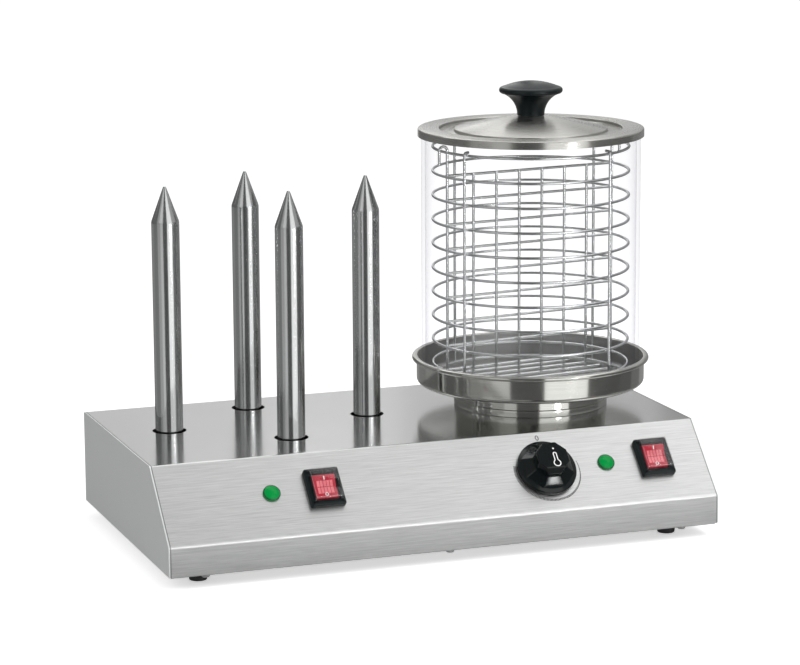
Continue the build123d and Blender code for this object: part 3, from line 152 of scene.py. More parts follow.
class Paint:
    """Node tree of one material or of the world."""

    def __init__(self, owner: Union[bpy.types.Material, bpy.types.World], output: str) -> None:
        """Empty the owner's tree and add its output.

        Args:
            owner: material or world to fill.
            output: type of the output node.
        """
        owner.use_nodes = True
        self.tree = owner.node_tree
        self.tree.nodes.clear()
        self.output = self.tree.nodes.new(output)

    def add(
        self,
        kind: str,
        settings: Optional[dict[str, Any]] = None,
        inputs: Optional[dict[Union[str, int], Value]] = None,
        result: Union[str, int] = 0,
    ) -> Link:
        """Add a node, set it and link it.

        Args:
            kind: node type.
            settings: node properties; "stops" fills a colour ramp with (position, colour) pairs.
            inputs: values or links by socket name or index.
            result: output socket to return.

        Returns:
            The chosen output.
        """
        node = self.tree.nodes.new(kind)
        for key, value in (settings or {}).items():
            if key == "stops":
                self.fill_ramp(node.color_ramp, value)
            else:
                setattr(node, key, value)
        for key, value in (inputs or {}).items():
            if isinstance(value, Link):
                self.tree.links.new(value.socket, node.inputs[key])
            else:
                node.inputs[key].default_value = value
        return Link(self, node.outputs[result])

    @staticmethod
    def fill_ramp(ramp: bpy.types.ColorRamp, stops: Sequence[tuple[float, Colour]]) -> None:
        """Set a colour ramp's stops.

        Args:
            ramp: ramp to fill.
            stops: positions and colours, from low to high.
        """
        while len(ramp.elements) > 1:
            ramp.elements.remove(ramp.elements[-1])
        for index, (position, colour) in enumerate(stops):
            element = ramp.elements[0] if index == 0 else ramp.elements.new(position)
            element.position = position
            element.color = (*colour, 1.0)

    def blend(self, share: Value, low: Union[Colour, Link], high: Colour) -> Link:
        """Mix two colours.

        Args:
            share: value or link from 0 to 1.
            low: colour or link at 0.
            high: colour at 1.

        Returns:
            The mixed colour.
        """
        inputs = {"Factor": share, 6: low if isinstance(low, Link) else (*low, 1.0), 7: (*high, 1.0)}
        return self.add("ShaderNodeMix", {"data_type": "RGBA"}, inputs, 2)

    def spot(self, centre: Spot = ORIGIN) -> Link:
        """Object coordinates in millimetres.

        Args:
            centre: point that becomes the origin, in millimetres.

        Returns:
            The coordinates as a vector.
        """
        place = self.add("ShaderNodeTexCoord", result="Object")
        settings = {"Location": [-value for value in centre], "Scale": (1 / MM,) * 3}
        return self.add("ShaderNodeMapping", {}, {"Vector": place, **settings})

    def stretch(self, vector: Link, lengths: Spot) -> Link:
        """Divide a vector by the length of a streak in each direction.

        Args:
            vector: coordinates.
            lengths: one streak's size along each axis, in millimetres.

        Returns:
            The scaled coordinates.
        """
        scale = [1 / length for length in lengths]
        return self.add("ShaderNodeVectorMath", {"operation": "MULTIPLY"}, {0: vector, 1: scale})

    def noise(self, vector: Link, detail: float = 2.0, extra: Optional[Link] = None) -> Link:
        """Noise from 0 to 1.

        Args:
            vector: coordinates, with one grain per unit.
            detail: number of finer layers.
            extra: fourth coordinate.

        Returns:
            The noise value.
        """
        inputs = {"Vector": vector, "Scale": 1.0, "Detail": detail, "Roughness": 0.6}
        if extra is None:
            return self.add("ShaderNodeTexNoise", {}, inputs, "Fac")
        return self.add("ShaderNodeTexNoise", {"noise_dimensions": "4D"}, {**inputs, "W": extra}, "Fac")

    def bump(self, height: Link, depth: float) -> Link:
        """Bumped normal.

        Args:
            height: value from 0 to 1.
            depth: height of the bumps in millimetres.

        Returns:
            The normal.
        """
        inputs = {"Height": height, "Distance": depth * MM, "Strength": 1.0}
        return self.add("ShaderNodeBump", {}, inputs, "Normal")

    def split(self, vector: Link) -> list[Link]:
        """Three coordinates of a vector."""
        return [self.add("ShaderNodeSeparateXYZ", {}, {"Vector": vector}, axis) for axis in "XYZ"]

    def show(self, shader: Link) -> None:
        """Link a shader to the output."""
        self.tree.links.new(shader.socket, self.output.inputs["Surface"])


def shade(colour: Colour, factor: float) -> Colour:
    """Colour made darker or lighter, and no lighter than white."""
    return tuple(min(1.0, value * factor) for value in colour)


@dataclass(frozen=True)
class Finish:
    """Name shared by every finish."""

    name: str

    def material(self) -> bpy.types.Material:
        """Make the material, or take the one that was made before.

        Returns:
            The material.
        """
        name = "finish_" + self.name
        made = bpy.data.materials.get(name)
        if made is None:
            made = bpy.data.materials.new(name)
            paint = Paint(made, "ShaderNodeOutputMaterial")
            paint.show(self.shader(paint))
        return made

    def shader(self, paint: Paint) -> Link:
        """Build the shader of the finish.

        Args:
            paint: node tree to fill.

        Returns:
            The shader.
        """
        raise NotImplementedError


@dataclass(frozen=True)
class Steel(Finish):
    """Metal with a directed grain, streaks and slightly uneven gloss."""

    colour: Colour
    roughness: float
    grain: Grain = Grain.ALONG_X
    centre: Spot = ORIGIN
    streak: float = 60.0
    pitch: float = 0.45
    contrast: float = 0.05
    depth: float = 0.002
    smear: float = 0.0
    cloud: float = 0.04
    metal: float = 1.0
    smear_turn: float = 0.25
    layers: float = 3.0
    ring: float = 100.0
    cloud_size: float = 70.0
    glint: float = 0.12

    def pattern(self, paint: Paint) -> Link:
        """Streaks that follow the grain.

        Args:
            paint: node tree to fill.

        Returns:
            Value from 0 to 1.
        """
        spot = paint.spot(self.centre)
        if self.grain is Grain.ALONG_X:
            return paint.noise(paint.stretch(spot, (self.streak, self.pitch, self.pitch)), self.layers)
        if self.grain is Grain.UPRIGHT:
            return paint.noise(paint.stretch(spot, (self.pitch, self.pitch, self.streak)), self.layers)
        x, y, z = paint.split(spot)
        radius = (x * x + y * y) ** 0.5
        turns = self.ring / self.streak
        around = {"X": x / radius * turns, "Y": y / radius * turns, "Z": radius / self.pitch}
        return paint.noise(paint.add("ShaderNodeCombineXYZ", {}, around), self.layers, z / self.pitch)

    def tone(self, paint: Paint, streaks: Link) -> Link:
        """Colour that follows the streaks."""
        swing = 2 * self.contrast
        return paint.blend(streaks, shade(self.colour, 1 - swing), shade(self.colour, 1 + swing))

    def gloss(self, paint: Paint, streaks: Link) -> Link:
        """Roughness that follows the streaks and varies slowly over the sheet."""
        clouds = paint.noise(paint.stretch(paint.spot(self.centre), (self.cloud_size,) * 3))
        return (streaks - 0.5) * self.glint + (clouds - 0.5) * 2 * self.cloud + self.roughness

    def relief(self, paint: Paint, streaks: Link) -> Link:
        """Height of the grain."""
        return streaks

    def shader(self, paint: Paint) -> Link:
        """Metal whose colour, gloss and normal follow the streaks.

        Args:
            paint: node tree to fill.

        Returns:
            The shader.
        """
        streaks = self.pattern(paint)
        inputs = {
            "Base Color": self.tone(paint, streaks),
            "Metallic": self.metal,
            "Roughness": self.gloss(paint, streaks),
            "Anisotropic": self.smear,
            "Anisotropic Rotation": self.smear_turn if self.smear else 0.0,
            "Normal": paint.bump(self.relief(paint, streaks), self.depth),
        }
        return paint.add("ShaderNodeBsdfPrincipled", {}, inputs)


@dataclass(frozen=True)
class FoldedSteel(Steel):
    """Sheet of the case: coarse grain in front, satin on top, a rubbed fold, darker cut edges."""

    top: float = 0.0
    top_skin: float = 0.3
    top_roughness: float = 0.15
    top_grain: float = 0.15
    top_relief: float = 0.07
    fold: Point = (0.0, 0.0)
    fold_highlight_width: float = 1.9
    edge: float = 0.0
    edge_width: float = 0.7
    painted_edge_reflection_colour: Colour = (0.12, 0.13, 0.13)
    painted_edge_reflection_share: float = 0.7
    long_streak: Spot = (26.0, 1.0, 1.0)
    long_share: float = 1.1
    short_share: float = 0.8

    def on_top(self, paint: Paint) -> Link:
        """One on the top face and zero elsewhere."""
        return paint.split(paint.spot())[2].above(self.top - self.top_skin)

    def tone(self, paint: Paint, streaks: Link) -> Link:
        """Colour with long streaks, a bright fold and dark edges.

        Args:
            paint: node tree to fill.
            streaks: value from 0 to 1.

        Returns:
            The colour.
        """
        across, depth, height = paint.split(paint.spot())
        long = paint.noise(paint.stretch(paint.spot(), self.long_streak))
        weight = (1 - self.on_top(paint)) * (1 - self.top_grain) + self.top_grain
        grain = ((streaks - 0.5) * self.short_share + (long - 0.5) * self.long_share) * weight + 0.5
        # A white band round the fold line is painted highlight.
        back = (depth - self.fold[0]) / self.fold_highlight_width
        over = (height - self.fold[1]) / self.fold_highlight_width
        painted_fold_highlight = (1 - (back * back + over * over)).largest(0.0)
        sheet = paint.blend(painted_fold_highlight, super().tone(paint, grain), (1.0, 1.0, 1.0))
        # The dark band along the side edges is painted dark reflection of the rolled edge.
        cut = across.math("ABSOLUTE", across, 0.0).above(self.edge - self.edge_width)
        return paint.blend(cut * self.painted_edge_reflection_share, sheet, self.painted_edge_reflection_colour)

    def gloss(self, paint: Paint, streaks: Link) -> Link:
        """Roughness, lower on the top face."""
        return super().gloss(paint, streaks) - self.on_top(paint) * (self.roughness - self.top_roughness)

    def relief(self, paint: Paint, streaks: Link) -> Link:
        """Height of the grain, much less on the top face."""
        return streaks * (1 - self.on_top(paint) * (1 - self.top_relief))


@dataclass(frozen=True)
class Plastic(Finish):
    """Moulded plastic or rubber with a fine texture."""

    colour: Colour
    roughness: float
    coat: float = 0.0
    texture: float = 0.35
    depth: float = 0.004
    variation: float = 0.1
    glow: float = 0.0
    gleam: float = 0.5
    cloud_size: float = 9.0
    glint: float = 0.1
    coat_roughness: float = 0.05

    def shader(self, paint: Paint) -> Link:
        """Plastic with fine pits and a slightly uneven colour.

        Args:
            paint: node tree to fill.

        Returns:
            The shader.
        """
        pits = paint.noise(paint.stretch(paint.spot(), (self.texture,) * 3))
        clouds = paint.noise(paint.stretch(paint.spot(), (self.cloud_size,) * 3))
        dark, light = (shade(self.colour, 1 + swing) for swing in (-self.variation, self.variation))
        inputs = {
            "Base Color": paint.blend(clouds, dark, light),
            "Roughness": (pits - 0.5) * self.glint + self.roughness,
            "Coat Weight": self.coat,
            "Coat Roughness": self.coat_roughness,
            "Specular IOR Level": self.gleam,
            "Emission Color": (*self.colour, 1.0),
            "Emission Strength": self.glow,
            "Normal": paint.bump(pits, self.depth),
        }
        return paint.add("ShaderNodeBsdfPrincipled", {}, inputs)


@dataclass(frozen=True)
class Clear(Finish):
    """Clear glass or plastic that lets lamps through."""

    tint: Colour
    edge: Colour
    mirror: float
    falloff: float = 3.0
    smudge: float = 0.03
    highlight_share: float = 0.0
    gleam: float = 0.3
    mirror_falloff: int = 5
    smudge_size: Spot = (30.0, 30.0, 60.0)
    milky_highlight: Colour = (0.9, 0.92, 0.92)

    def shader(self, paint: Paint) -> Link:
        """Thin clear wall that mirrors more, and darkens, where it is seen along its edge.

        Args:
            paint: node tree to fill.

        Returns:
            The shader.
        """
        smear = paint.noise(paint.stretch(paint.spot(), self.smudge_size), 3.0)
        slant = paint.add("ShaderNodeLayerWeight", {}, {"Blend": 0.5}, "Facing")
        face = paint.add("ShaderNodeBsdfTransparent", {}, {"Color": (*self.tint, 1.0)})
        side = paint.add("ShaderNodeBsdfTransparent", {}, {"Color": (*self.edge, 1.0)})
        through = paint.add("ShaderNodeMixShader", {}, {0: slant**self.falloff, 1: face, 2: side})
        inputs = {"Base Color": (1.0, 1.0, 1.0, 1.0), "Metallic": 1.0, "Roughness": smear * self.smudge}
        gloss = paint.add("ShaderNodeBsdfPrincipled", {}, inputs)
        mirror = slant**self.mirror_falloff * self.gleam + self.mirror
        clear = paint.add("ShaderNodeMixShader", {}, {0: mirror, 1: through, 2: gloss})
        # Mixing in white diffuse is painted highlight.
        if not self.highlight_share:
            return clear
        milky_highlight = paint.add("ShaderNodeBsdfDiffuse", {}, {"Color": (*self.milky_highlight, 1.0)})
        return paint.add("ShaderNodeMixShader", {}, {0: self.highlight_share, 1: clear, 2: milky_highlight})


@dataclass(frozen=True)
class Ink(Finish):
    """Printed marking."""

    colour: Colour
    roughness: float = 0.4
    wear: float = 0.05
    wear_size: float = 0.5
    glint: float = 0.2

    def shader(self, paint: Paint) -> Link:
        """Matt print, a little uneven.

        Args:
            paint: node tree to fill.

        Returns:
            The shader.
        """
        worn = paint.noise(paint.stretch(paint.spot(), (self.wear_size,) * 3))
        pale = tuple(min(1.0, value + self.wear) for value in self.colour)
        rough = worn * self.glint + self.roughness
        inputs = {"Base Color": paint.blend(worn, self.colour, pale), "Roughness": rough}
        return paint.add("ShaderNodeBsdfPrincipled", {}, inputs)


def box_of(node: str) -> tuple[Vector, Vector]:
    """Lowest and highest corner of a node in millimetres."""
    low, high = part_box(node)
    return low / MM, high / MM


def place_of(node: str) -> Matrix:
    """Place in millimetres of the upright axis through the middle of a node.

    Args:
        node: name of the node.

    Returns:
        The place.
    """
    low, high = box_of(node)
    middle = (low + high) / 2
    return Matrix.Translation((middle.x, middle.y, 0.0))


CASE_LOW, CASE_HIGH = box_of("casing_shell")
PAN_PLACE = place_of("water_pan")
PAN_SPOT = tuple(PAN_PLACE.translation)

FOLD_TO_TOP = 56.9
CASE_STEEL = FoldedSteel(
    "case_steel",
    (0.67, 0.675, 0.67),
    0.4,
    contrast=0.1,
    depth=0.006,
    cloud=0.02,
    top=CASE_HIGH.z,
    fold=(CASE_LOW.y, CASE_HIGH.z - FOLD_TO_TOP),
    edge=CASE_HIGH.x,
)
SIDE_STEEL = Steel(
    "side_steel", (0.83, 0.845, 0.84), 0.34, streak=50.0, pitch=0.5, contrast=0.03, depth=0.004, metal=0.65
)
SPUN = {"grain": Grain.AROUND, "centre": PAN_SPOT, "depth": 0.001}
SPUN_STEEL = Steel("spun_steel", (0.64, 0.64, 0.605), 0.13, pitch=0.35, contrast=0.09, smear=0.5, **SPUN)
PAN_INSIDE = Steel("pan_inside", (0.62, 0.62, 0.6), 0.3, contrast=0.08, metal=0.82, **SPUN)
LID_STEEL = Steel("lid_steel", (0.6, 0.595, 0.565), 0.28, pitch=0.3, contrast=0.06, smear=0.85, **SPUN)
SPIKE_STEEL = Steel(
    "spike_steel", (0.66, 0.67, 0.67), 0.16, Grain.UPRIGHT, streak=90.0, pitch=0.9, contrast=0.08
)
WIRE_STEEL = Steel("wire_steel", (0.88, 0.895, 0.9), 0.2, streak=8.0, pitch=1.5, contrast=0.04, depth=0.001)
PLAIN_STEEL = Steel("plain_steel", (0.5, 0.5, 0.5), 0.4, streak=12.0, pitch=0.5, contrast=0.06)
ALUMINIUM = Steel("aluminium_plate", (0.75, 0.76, 0.77), 0.38, streak=20.0, pitch=0.5)
BRASS = Steel("brass_bulb", (0.62, 0.42, 0.2), 0.32, streak=10.0, pitch=0.4)
GLASS = Clear("clear_glass", (0.995, 0.995, 0.997), (0.9, 0.9, 0.92), 0.005, 4.0, 0.015, gleam=0.2)
CLEAR_PLASTIC = Clear("clear_cover", (0.95, 0.95, 0.95), (0.7, 0.7, 0.7), 0.02, 2.0, 0.1)
# Milky finish on the cover's rounded edges is painted highlight.
CLEAR_EDGE_HIGHLIGHT = Clear("clear_edge", (0.9, 0.9, 0.9), (0.8, 0.8, 0.8), 0.08, 2.0, 0.3, 0.14)
LID_KNOB_BLACK = Plastic("lid_knob_black", (0.006, 0.01, 0.011), 0.3, gleam=0.3, texture=0.5, depth=0.003)
CONTROL_BLACK = Plastic("control_black", (0.002, 0.004, 0.004), 0.12, texture=0.5, depth=0.0005)
BEZEL_BLACK = Plastic("bezel_black", (0.004, 0.008, 0.009), 0.25, gleam=0.35, texture=0.3, depth=0.003)
HIDDEN_BLACK = Plastic("hidden_black", (0.03, 0.03, 0.03), 0.5)
RUBBER = Plastic("foot_rubber", (0.02, 0.02, 0.02), 0.7, texture=0.6, depth=0.02)
CERAMIC = Plastic("white_ceramic", (0.78, 0.77, 0.73), 0.45)
# The rocker's small glow is painted light, standing in for light through the red plastic.
ROCKER_RED = Plastic("rocker_red", (0.42, 0.015, 0.035), 0.25, coat=0.2, glow=0.1, variation=0.3)
# Pale pink strokes with a little glow on the rocker are painted highlight.
ROCKER_HIGHLIGHT_PAINT = Plastic("rocker_pale", (0.72, 0.17, 0.2), 0.3, glow=0.12, variation=0.35)
LENS_GREEN = Plastic("lens_green", (0.0, 0.19, 0.035), 0.15, glow=0.38, gleam=0.15)
# Dark green ring at the lens's foot, as painted shade.
LENS_SHADE_RING = Plastic("lens_rim", (0.0, 0.07, 0.02), 0.25, coat=0.5)
WHITE_INK = Ink("white_ink", (0.85, 0.85, 0.85))
GREY_INK = Ink("grey_ink", (0.012, 0.012, 0.012))


def pick(geom: Iterable[Any], kind: Union[type, tuple[type, ...]]) -> list[Any]:
    """Vertices, edges or faces among the items that an operator made."""
    return [item for item in geom if isinstance(item, kind)]


def round_off(
    mesh: Mesh, edges: Sequence[Any], width: float, segments: int, clamp: bool = False
) -> list[Any]:
    """Round edges.

    Args:
        mesh: mesh to change.
        edges: edges to round.
        width: width of the rounding in millimetres.
        segments: number of faces across it.
        clamp: whether the rounding gets narrower where two of them would meet.

    Returns:
        The new faces.
    """
    return bmesh.ops.bevel(
        mesh,
        geom=edges,
        offset=width,
        offset_type="OFFSET",
        segments=segments,
        profile=0.5,
        affect="EDGES",
        clamp_overlap=clamp,
        material=-1,
    )["faces"]


def ease_edges(mesh: Mesh, width: float, segments: int = 3, degrees: float = 30.0) -> None:
    """Round the sharp edges of a mesh.

    Args:
        mesh: mesh to change.
        width: width of the rounding in millimetres.
        segments: number of faces across it.
        degrees: least angle between the faces of an edge that is rounded.
    """
    bmesh.ops.remove_doubles(mesh, verts=mesh.verts, dist=WELD)
    limit = math.radians(degrees)
    sharp = [edge for edge in mesh.edges if len(edge.link_faces) == 2 and edge.calc_face_angle() > limit]
    round_off(mesh, sharp, width, segments, clamp=True)


def draw_out(mesh: Mesh, faces: Sequence[Any], step: Spot, keep: bool = False) -> list[Any]:
    """Extrude faces and move what is new.

    Args:
        mesh: mesh to change.
        faces: faces to extrude.
        step: distances along the three axes.
        keep: whether the faces also stay where they are.

    Returns:
        The new vertices, edges and faces.
    """
    drawn = bmesh.ops.extrude_face_region(mesh, geom=faces, use_keep_orig=keep)["geom"]
    bmesh.ops.translate(mesh, vec=step, verts=pick(drawn, Vert))
    return drawn


def spin_round(mesh: Mesh, line: Sequence[Any], steps: int) -> None:
    """Spin a line all the way round the Z axis.

    Args:
        mesh: mesh to change.
        line: vertices and edges of the line.
        steps: number of faces round the axis.
    """
    bmesh.ops.spin(mesh, geom=line, cent=ORIGIN, axis=UP, angle=2 * math.pi, steps=steps, use_merge=True)


def stand_box(size: Spot, low: float) -> Mesh:
    """Box about the Z axis.

    Args:
        size: its size in millimetres.
        low: height of its underside.

    Returns:
        The box.
    """
    mesh = bmesh.new()
    bmesh.ops.create_cube(mesh, size=1.0)
    bmesh.ops.scale(mesh, vec=size, verts=mesh.verts)
    bmesh.ops.translate(mesh, vec=(0.0, 0.0, low + size[2] / 2), verts=mesh.verts)
    return mesh


def thicken(mesh: Mesh, wall: float) -> None:
    """Turn the faces of an open shell outwards and give it its thickness.

    Args:
        mesh: shell to change.
        wall: thickness in millimetres.
    """
    bmesh.ops.recalc_face_normals(mesh, faces=mesh.faces)
    if sum(face.normal.z for face in mesh.faces) < 0:
        bmesh.ops.reverse_faces(mesh, faces=mesh.faces)
    bmesh.ops.solidify(mesh, geom=list(mesh.faces), thickness=wall)


def settle(name: str, mesh: Mesh) -> bpy.types.Mesh:
    """Turn a working mesh, which is used up, into mesh data.

    Args:
        name: name of the data.
        mesh: working mesh.

    Returns:
        The data.
    """
    data = bpy.data.meshes.new(name)
    mesh.to_mesh(data)
    mesh.free()
    return data


def take_in(mesh: Mesh, data: bpy.types.Mesh) -> None:
    """Add mesh data, which is used up, to a working mesh."""
    mesh.from_mesh(data)
    bpy.data.meshes.remove(data)


def put_up(name: str, data: bpy.types.ID) -> bpy.types.Object:
    """Put a new object in the scene.

    Args:
        name: name of the object.
        data: its mesh, camera, lamp or text.

    Returns:
        The object.
    """
    item = bpy.data.objects.new(name, data)
    bpy.context.scene.collection.objects.link(item)
    return item


def finish_piece(
    name: str,
    mesh: Mesh,
    finish: Finish,
    body: str,
    node: str = "",
    place: Optional[Matrix] = None,
    crease: float = 35.0,
    second: Optional[Finish] = None,
) -> None:
    """Turn a mesh in millimetres into a piece of the part.

    Args:
        name: name of the piece.
        mesh: its mesh, which is used up.
        finish: its finish.
        body: body that it rides on.
        node: node of the frame that it replaces, if any.
        place: where the mesh's own frame lies, in millimetres.
        crease: angle in degrees from which an edge is shown sharp.
        second: finish of the faces that were marked for it.
    """
    bmesh.ops.remove_doubles(mesh, verts=mesh.verts, dist=WELD)
    bmesh.ops.recalc_face_normals(mesh, faces=mesh.faces)
    scale = Matrix.Scale(MM, 4) @ (place or Matrix.Identity(4))
    bmesh.ops.transform(mesh, matrix=scale, verts=mesh.verts)
    data = settle(name, mesh)
    data.shade_smooth()
    data.set_sharp_from_angle(angle=math.radians(crease))
    for used in filter(None, (finish, second)):
        data.materials.append(used.material())
    piece = put_up(name, data)
    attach(piece, body)
    if node:
        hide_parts(node)
    LOG.info("%s: %d faces on %s", name, len(data.polygons), body)


class Outline:
    """Closed or open line in the XZ plane, drawn with straight runs and arcs, then turned or pushed out."""

    def __init__(self, across: float, height: float) -> None:
        """Start the line.

        Args:
            across: radius or distance from the middle.
            height: height above the frame's origin.
        """
        self.mesh = bmesh.new()
        self.pen = self.mesh.verts.new((across, 0.0, height))
        self.start = self.pen

    def line(self, *points: Point) -> "Outline":
        """Draw straight runs to the given points."""
        for across, height in points:
            vertex = self.mesh.verts.new((across, 0.0, height))
            self.mesh.edges.new((self.pen, vertex))
            self.pen = vertex
        return self

    def arc(self, across: float, height: float, degrees: float, steps: int = 6) -> "Outline":
        """Draw an arc from the pen.

        Args:
            across: centre's distance from the middle.
            height: centre's height.
            degrees: angle turned, positive from the right to the top.
            steps: number of chords.

        Returns:
            The outline.
        """
        drawn = bmesh.ops.spin(
            self.mesh,
            geom=[self.pen],
            cent=(across, 0.0, height),
            axis=(0.0, -1.0, 0.0),
            angle=math.radians(degrees),
            steps=steps,
        )
        self.pen = pick(drawn["geom_last"], Vert)[0]
        return self

    def close(self) -> "Outline":
        """Join the pen to the start."""
        self.mesh.edges.new((self.pen, self.start))
        return self

    def turn(self, steps: int = 128) -> Mesh:
        """Spin the line about the upright axis.

        Args:
            steps: number of faces round the axis.

        Returns:
            The turned mesh.
        """
        spin_round(self.mesh, [*self.mesh.verts, *self.mesh.edges], steps)
        bmesh.ops.remove_doubles(self.mesh, verts=self.mesh.verts, dist=WELD)
        return self.mesh

    def push(self, width: float) -> Mesh:
        """Fill the closed line and push it out along Y, half to each side.

        Args:
            width: full width.

        Returns:
            The solid mesh.
        """
        bmesh.ops.contextual_create(self.mesh, geom=list(self.mesh.edges))
        bmesh.ops.translate(self.mesh, vec=(0.0, -width / 2, 0.0), verts=self.mesh.verts)
        draw_out(self.mesh, list(self.mesh.faces), (0.0, width, 0.0))
        return self.mesh


class Strand:
    """Round wire laid in straight runs and bends."""

    def __init__(self, mesh: Mesh, start: Spot, heading: Spot, radius: float, sides: int = 12) -> None:
        """Start a wire with its round end.

        Args:
            mesh: mesh that the wire is added to.
            start: middle of the end.
            heading: direction in which the wire sets out.
            radius: radius of the wire.
            sides: number of faces round it.
        """
        self.mesh = mesh
        turn = Vector(heading).to_track_quat("Z", "Y").to_matrix().to_4x4()
        place = Matrix.Translation(Vector(start)) @ turn
        made = bmesh.ops.create_circle(mesh, cap_ends=True, segments=sides, radius=radius, matrix=place)
        self.end: list[Any] = list({face for vertex in made["verts"] for face in vertex.link_faces})

    def run(self, x: float, y: float, z: float) -> "Strand":
        """Lay a straight run by the given distances."""
        self.end = pick(draw_out(self.mesh, self.end, (x, y, z)), Face)
        return self

    def bend(self, centre: Spot, axis: Spot, degrees: float, steps: int = 6) -> "Strand":
        """Lay a bend about an axis.

        Args:
            centre: point on the axis.
            axis: direction of the axis.
            degrees: angle turned.
            steps: number of chords.

        Returns:
            The wire.
        """
        geom = [*self.end, *{edge for face in self.end for edge in face.edges}]
        geom += list({vertex for face in self.end for vertex in face.verts})
        drawn = bmesh.ops.spin(
            self.mesh, geom=geom, cent=centre, axis=axis, angle=math.radians(degrees), steps=steps
        )
        self.end = pick(drawn["geom_last"], Face)
        return self


class Stroke:
    """Flat printed line in the XY plane, drawn with a straight-edged pen."""

    def __init__(self, mesh: Mesh, x: float, y: float, degrees: float, width: float) -> None:
        """Put the pen down.

        Args:
            mesh: mesh that the line is added to.
            x: middle of the pen.
            y: middle of the pen.
            degrees: heading, from +X towards +Y.
            width: width of the line.
        """
        self.mesh = mesh
        self.heading = math.radians(degrees)
        side = self.left() * width / 2
        middle = Vector((x, y, 0.0))
        ends = [mesh.verts.new(middle - side), mesh.verts.new(middle + side)]
        self.pen: list[Any] = [*ends, mesh.edges.new(ends)]

    def left(self) -> Vector:
        """Direction to the left of the heading."""
        return Vector((-math.sin(self.heading), math.cos(self.heading), 0.0))

    def run(self, length: float) -> "Stroke":
        """Draw straight on.

        Args:
            length: length of the run.

        Returns:
            The stroke.
        """
        drawn = bmesh.ops.extrude_edge_only(self.mesh, edges=pick(self.pen, Edge))["geom"]
        self.pen = pick(drawn, (Vert, Edge))
        step = Vector((math.cos(self.heading), math.sin(self.heading), 0.0)) * length
        bmesh.ops.translate(self.mesh, vec=step, verts=pick(drawn, Vert))
        return self

    def bend(self, radius: float, degrees: float, steps: int = 12) -> "Stroke":
        """Draw a curve.

        Args:
            radius: radius at the middle of the line.
            degrees: angle turned, positive to the left.
            steps: number of chords.

        Returns:
            The stroke.
        """
        ends = [vertex.co for vertex in pick(self.pen, Vert)]
        centre = (ends[0] + ends[1]) / 2 + self.left() * math.copysign(radius, degrees)
        turn = math.radians(degrees)
        drawn = bmesh.ops.spin(self.mesh, geom=self.pen, cent=centre, axis=UP, angle=turn, steps=steps)
        self.pen = pick(drawn["geom_last"], (Vert, Edge))
        self.heading += turn
        return self


def raise_print(mesh: Mesh, height: float) -> Mesh:
    """Lift a flat marking off its surface and give it the thickness of a coat of ink.

    Args:
        mesh: flat marking.
        height: height of its underside.

    Returns:
        The same mesh.
    """
    bmesh.ops.remove_doubles(mesh, verts=mesh.verts, dist=WELD)
    bmesh.ops.translate(mesh, vec=(0.0, 0.0, height), verts=mesh.verts)
    draw_out(mesh, list(mesh.faces), (0.0, 0.0, INK_THICKNESS), keep=True)
    return mesh


@dataclass
class Panel:
    """Sloping front panel, as a place to put things on."""

    run: float = 56.2
    rise: float = FOLD_TO_TOP

    def place(self, x: float, down: float) -> Matrix:
        """Frame on the panel: X to the right, Y up the slope, Z out of it.

        Args:
            x: place along the width.
            down: distance down the slope from the top fold.

        Returns:
            The frame in millimetres.
        """
        length = math.hypot(self.run, self.rise)
        share = down / length
        origin = Vector((x, CASE_LOW.y + self.run * (1 - share), CASE_HIGH.z - self.rise * share))
        up = Vector((0.0, self.run, self.rise)) / length
        out = Vector((0.0, -self.rise, self.run)) / length
        turn = Matrix((Vector((1.0, 0.0, 0.0)), up, out)).transposed().to_4x4()
        return Matrix.Translation(origin) @ turn


PANEL = Panel()


@dataclass
class Toaster:
    """Four polished spikes that stand through the top of the case."""

    radius: float = 12.25
    cone: float = 34.0
    tip: float = 1.6
    spigot: float = 9.0
    spigot_length: float = 14.0
    shoulder: float = 1.2
    sides: int = 96

    def build(self) -> None:
        """Make one smooth spike for each node."""
        half = math.atan(self.radius / self.cone)
        for side in ("left", "front", "back", "right"):
            node = "toast_spike_" + side
            low, high = box_of(node)
            ball = high.z - self.tip
            point = ball + self.tip / math.sin(half)
            step = low.z + self.spigot_length
            outline = Outline(0.0, low.z).line(
                (self.spigot, low.z),
                (self.spigot, step),
                (self.radius, step),
                (self.radius, point - self.cone),
                (self.tip * math.cos(half), ball + self.tip * math.sin(half)),
            )
            mesh = outline.arc(0.0, ball, 90.0 - math.degrees(half)).turn(self.sides)
            ease_edges(mesh, self.shoulder, segments=4, degrees=15.0)
            finish_piece("spike_" + side, mesh, SPIKE_STEEL, "base", node, place_of(node))


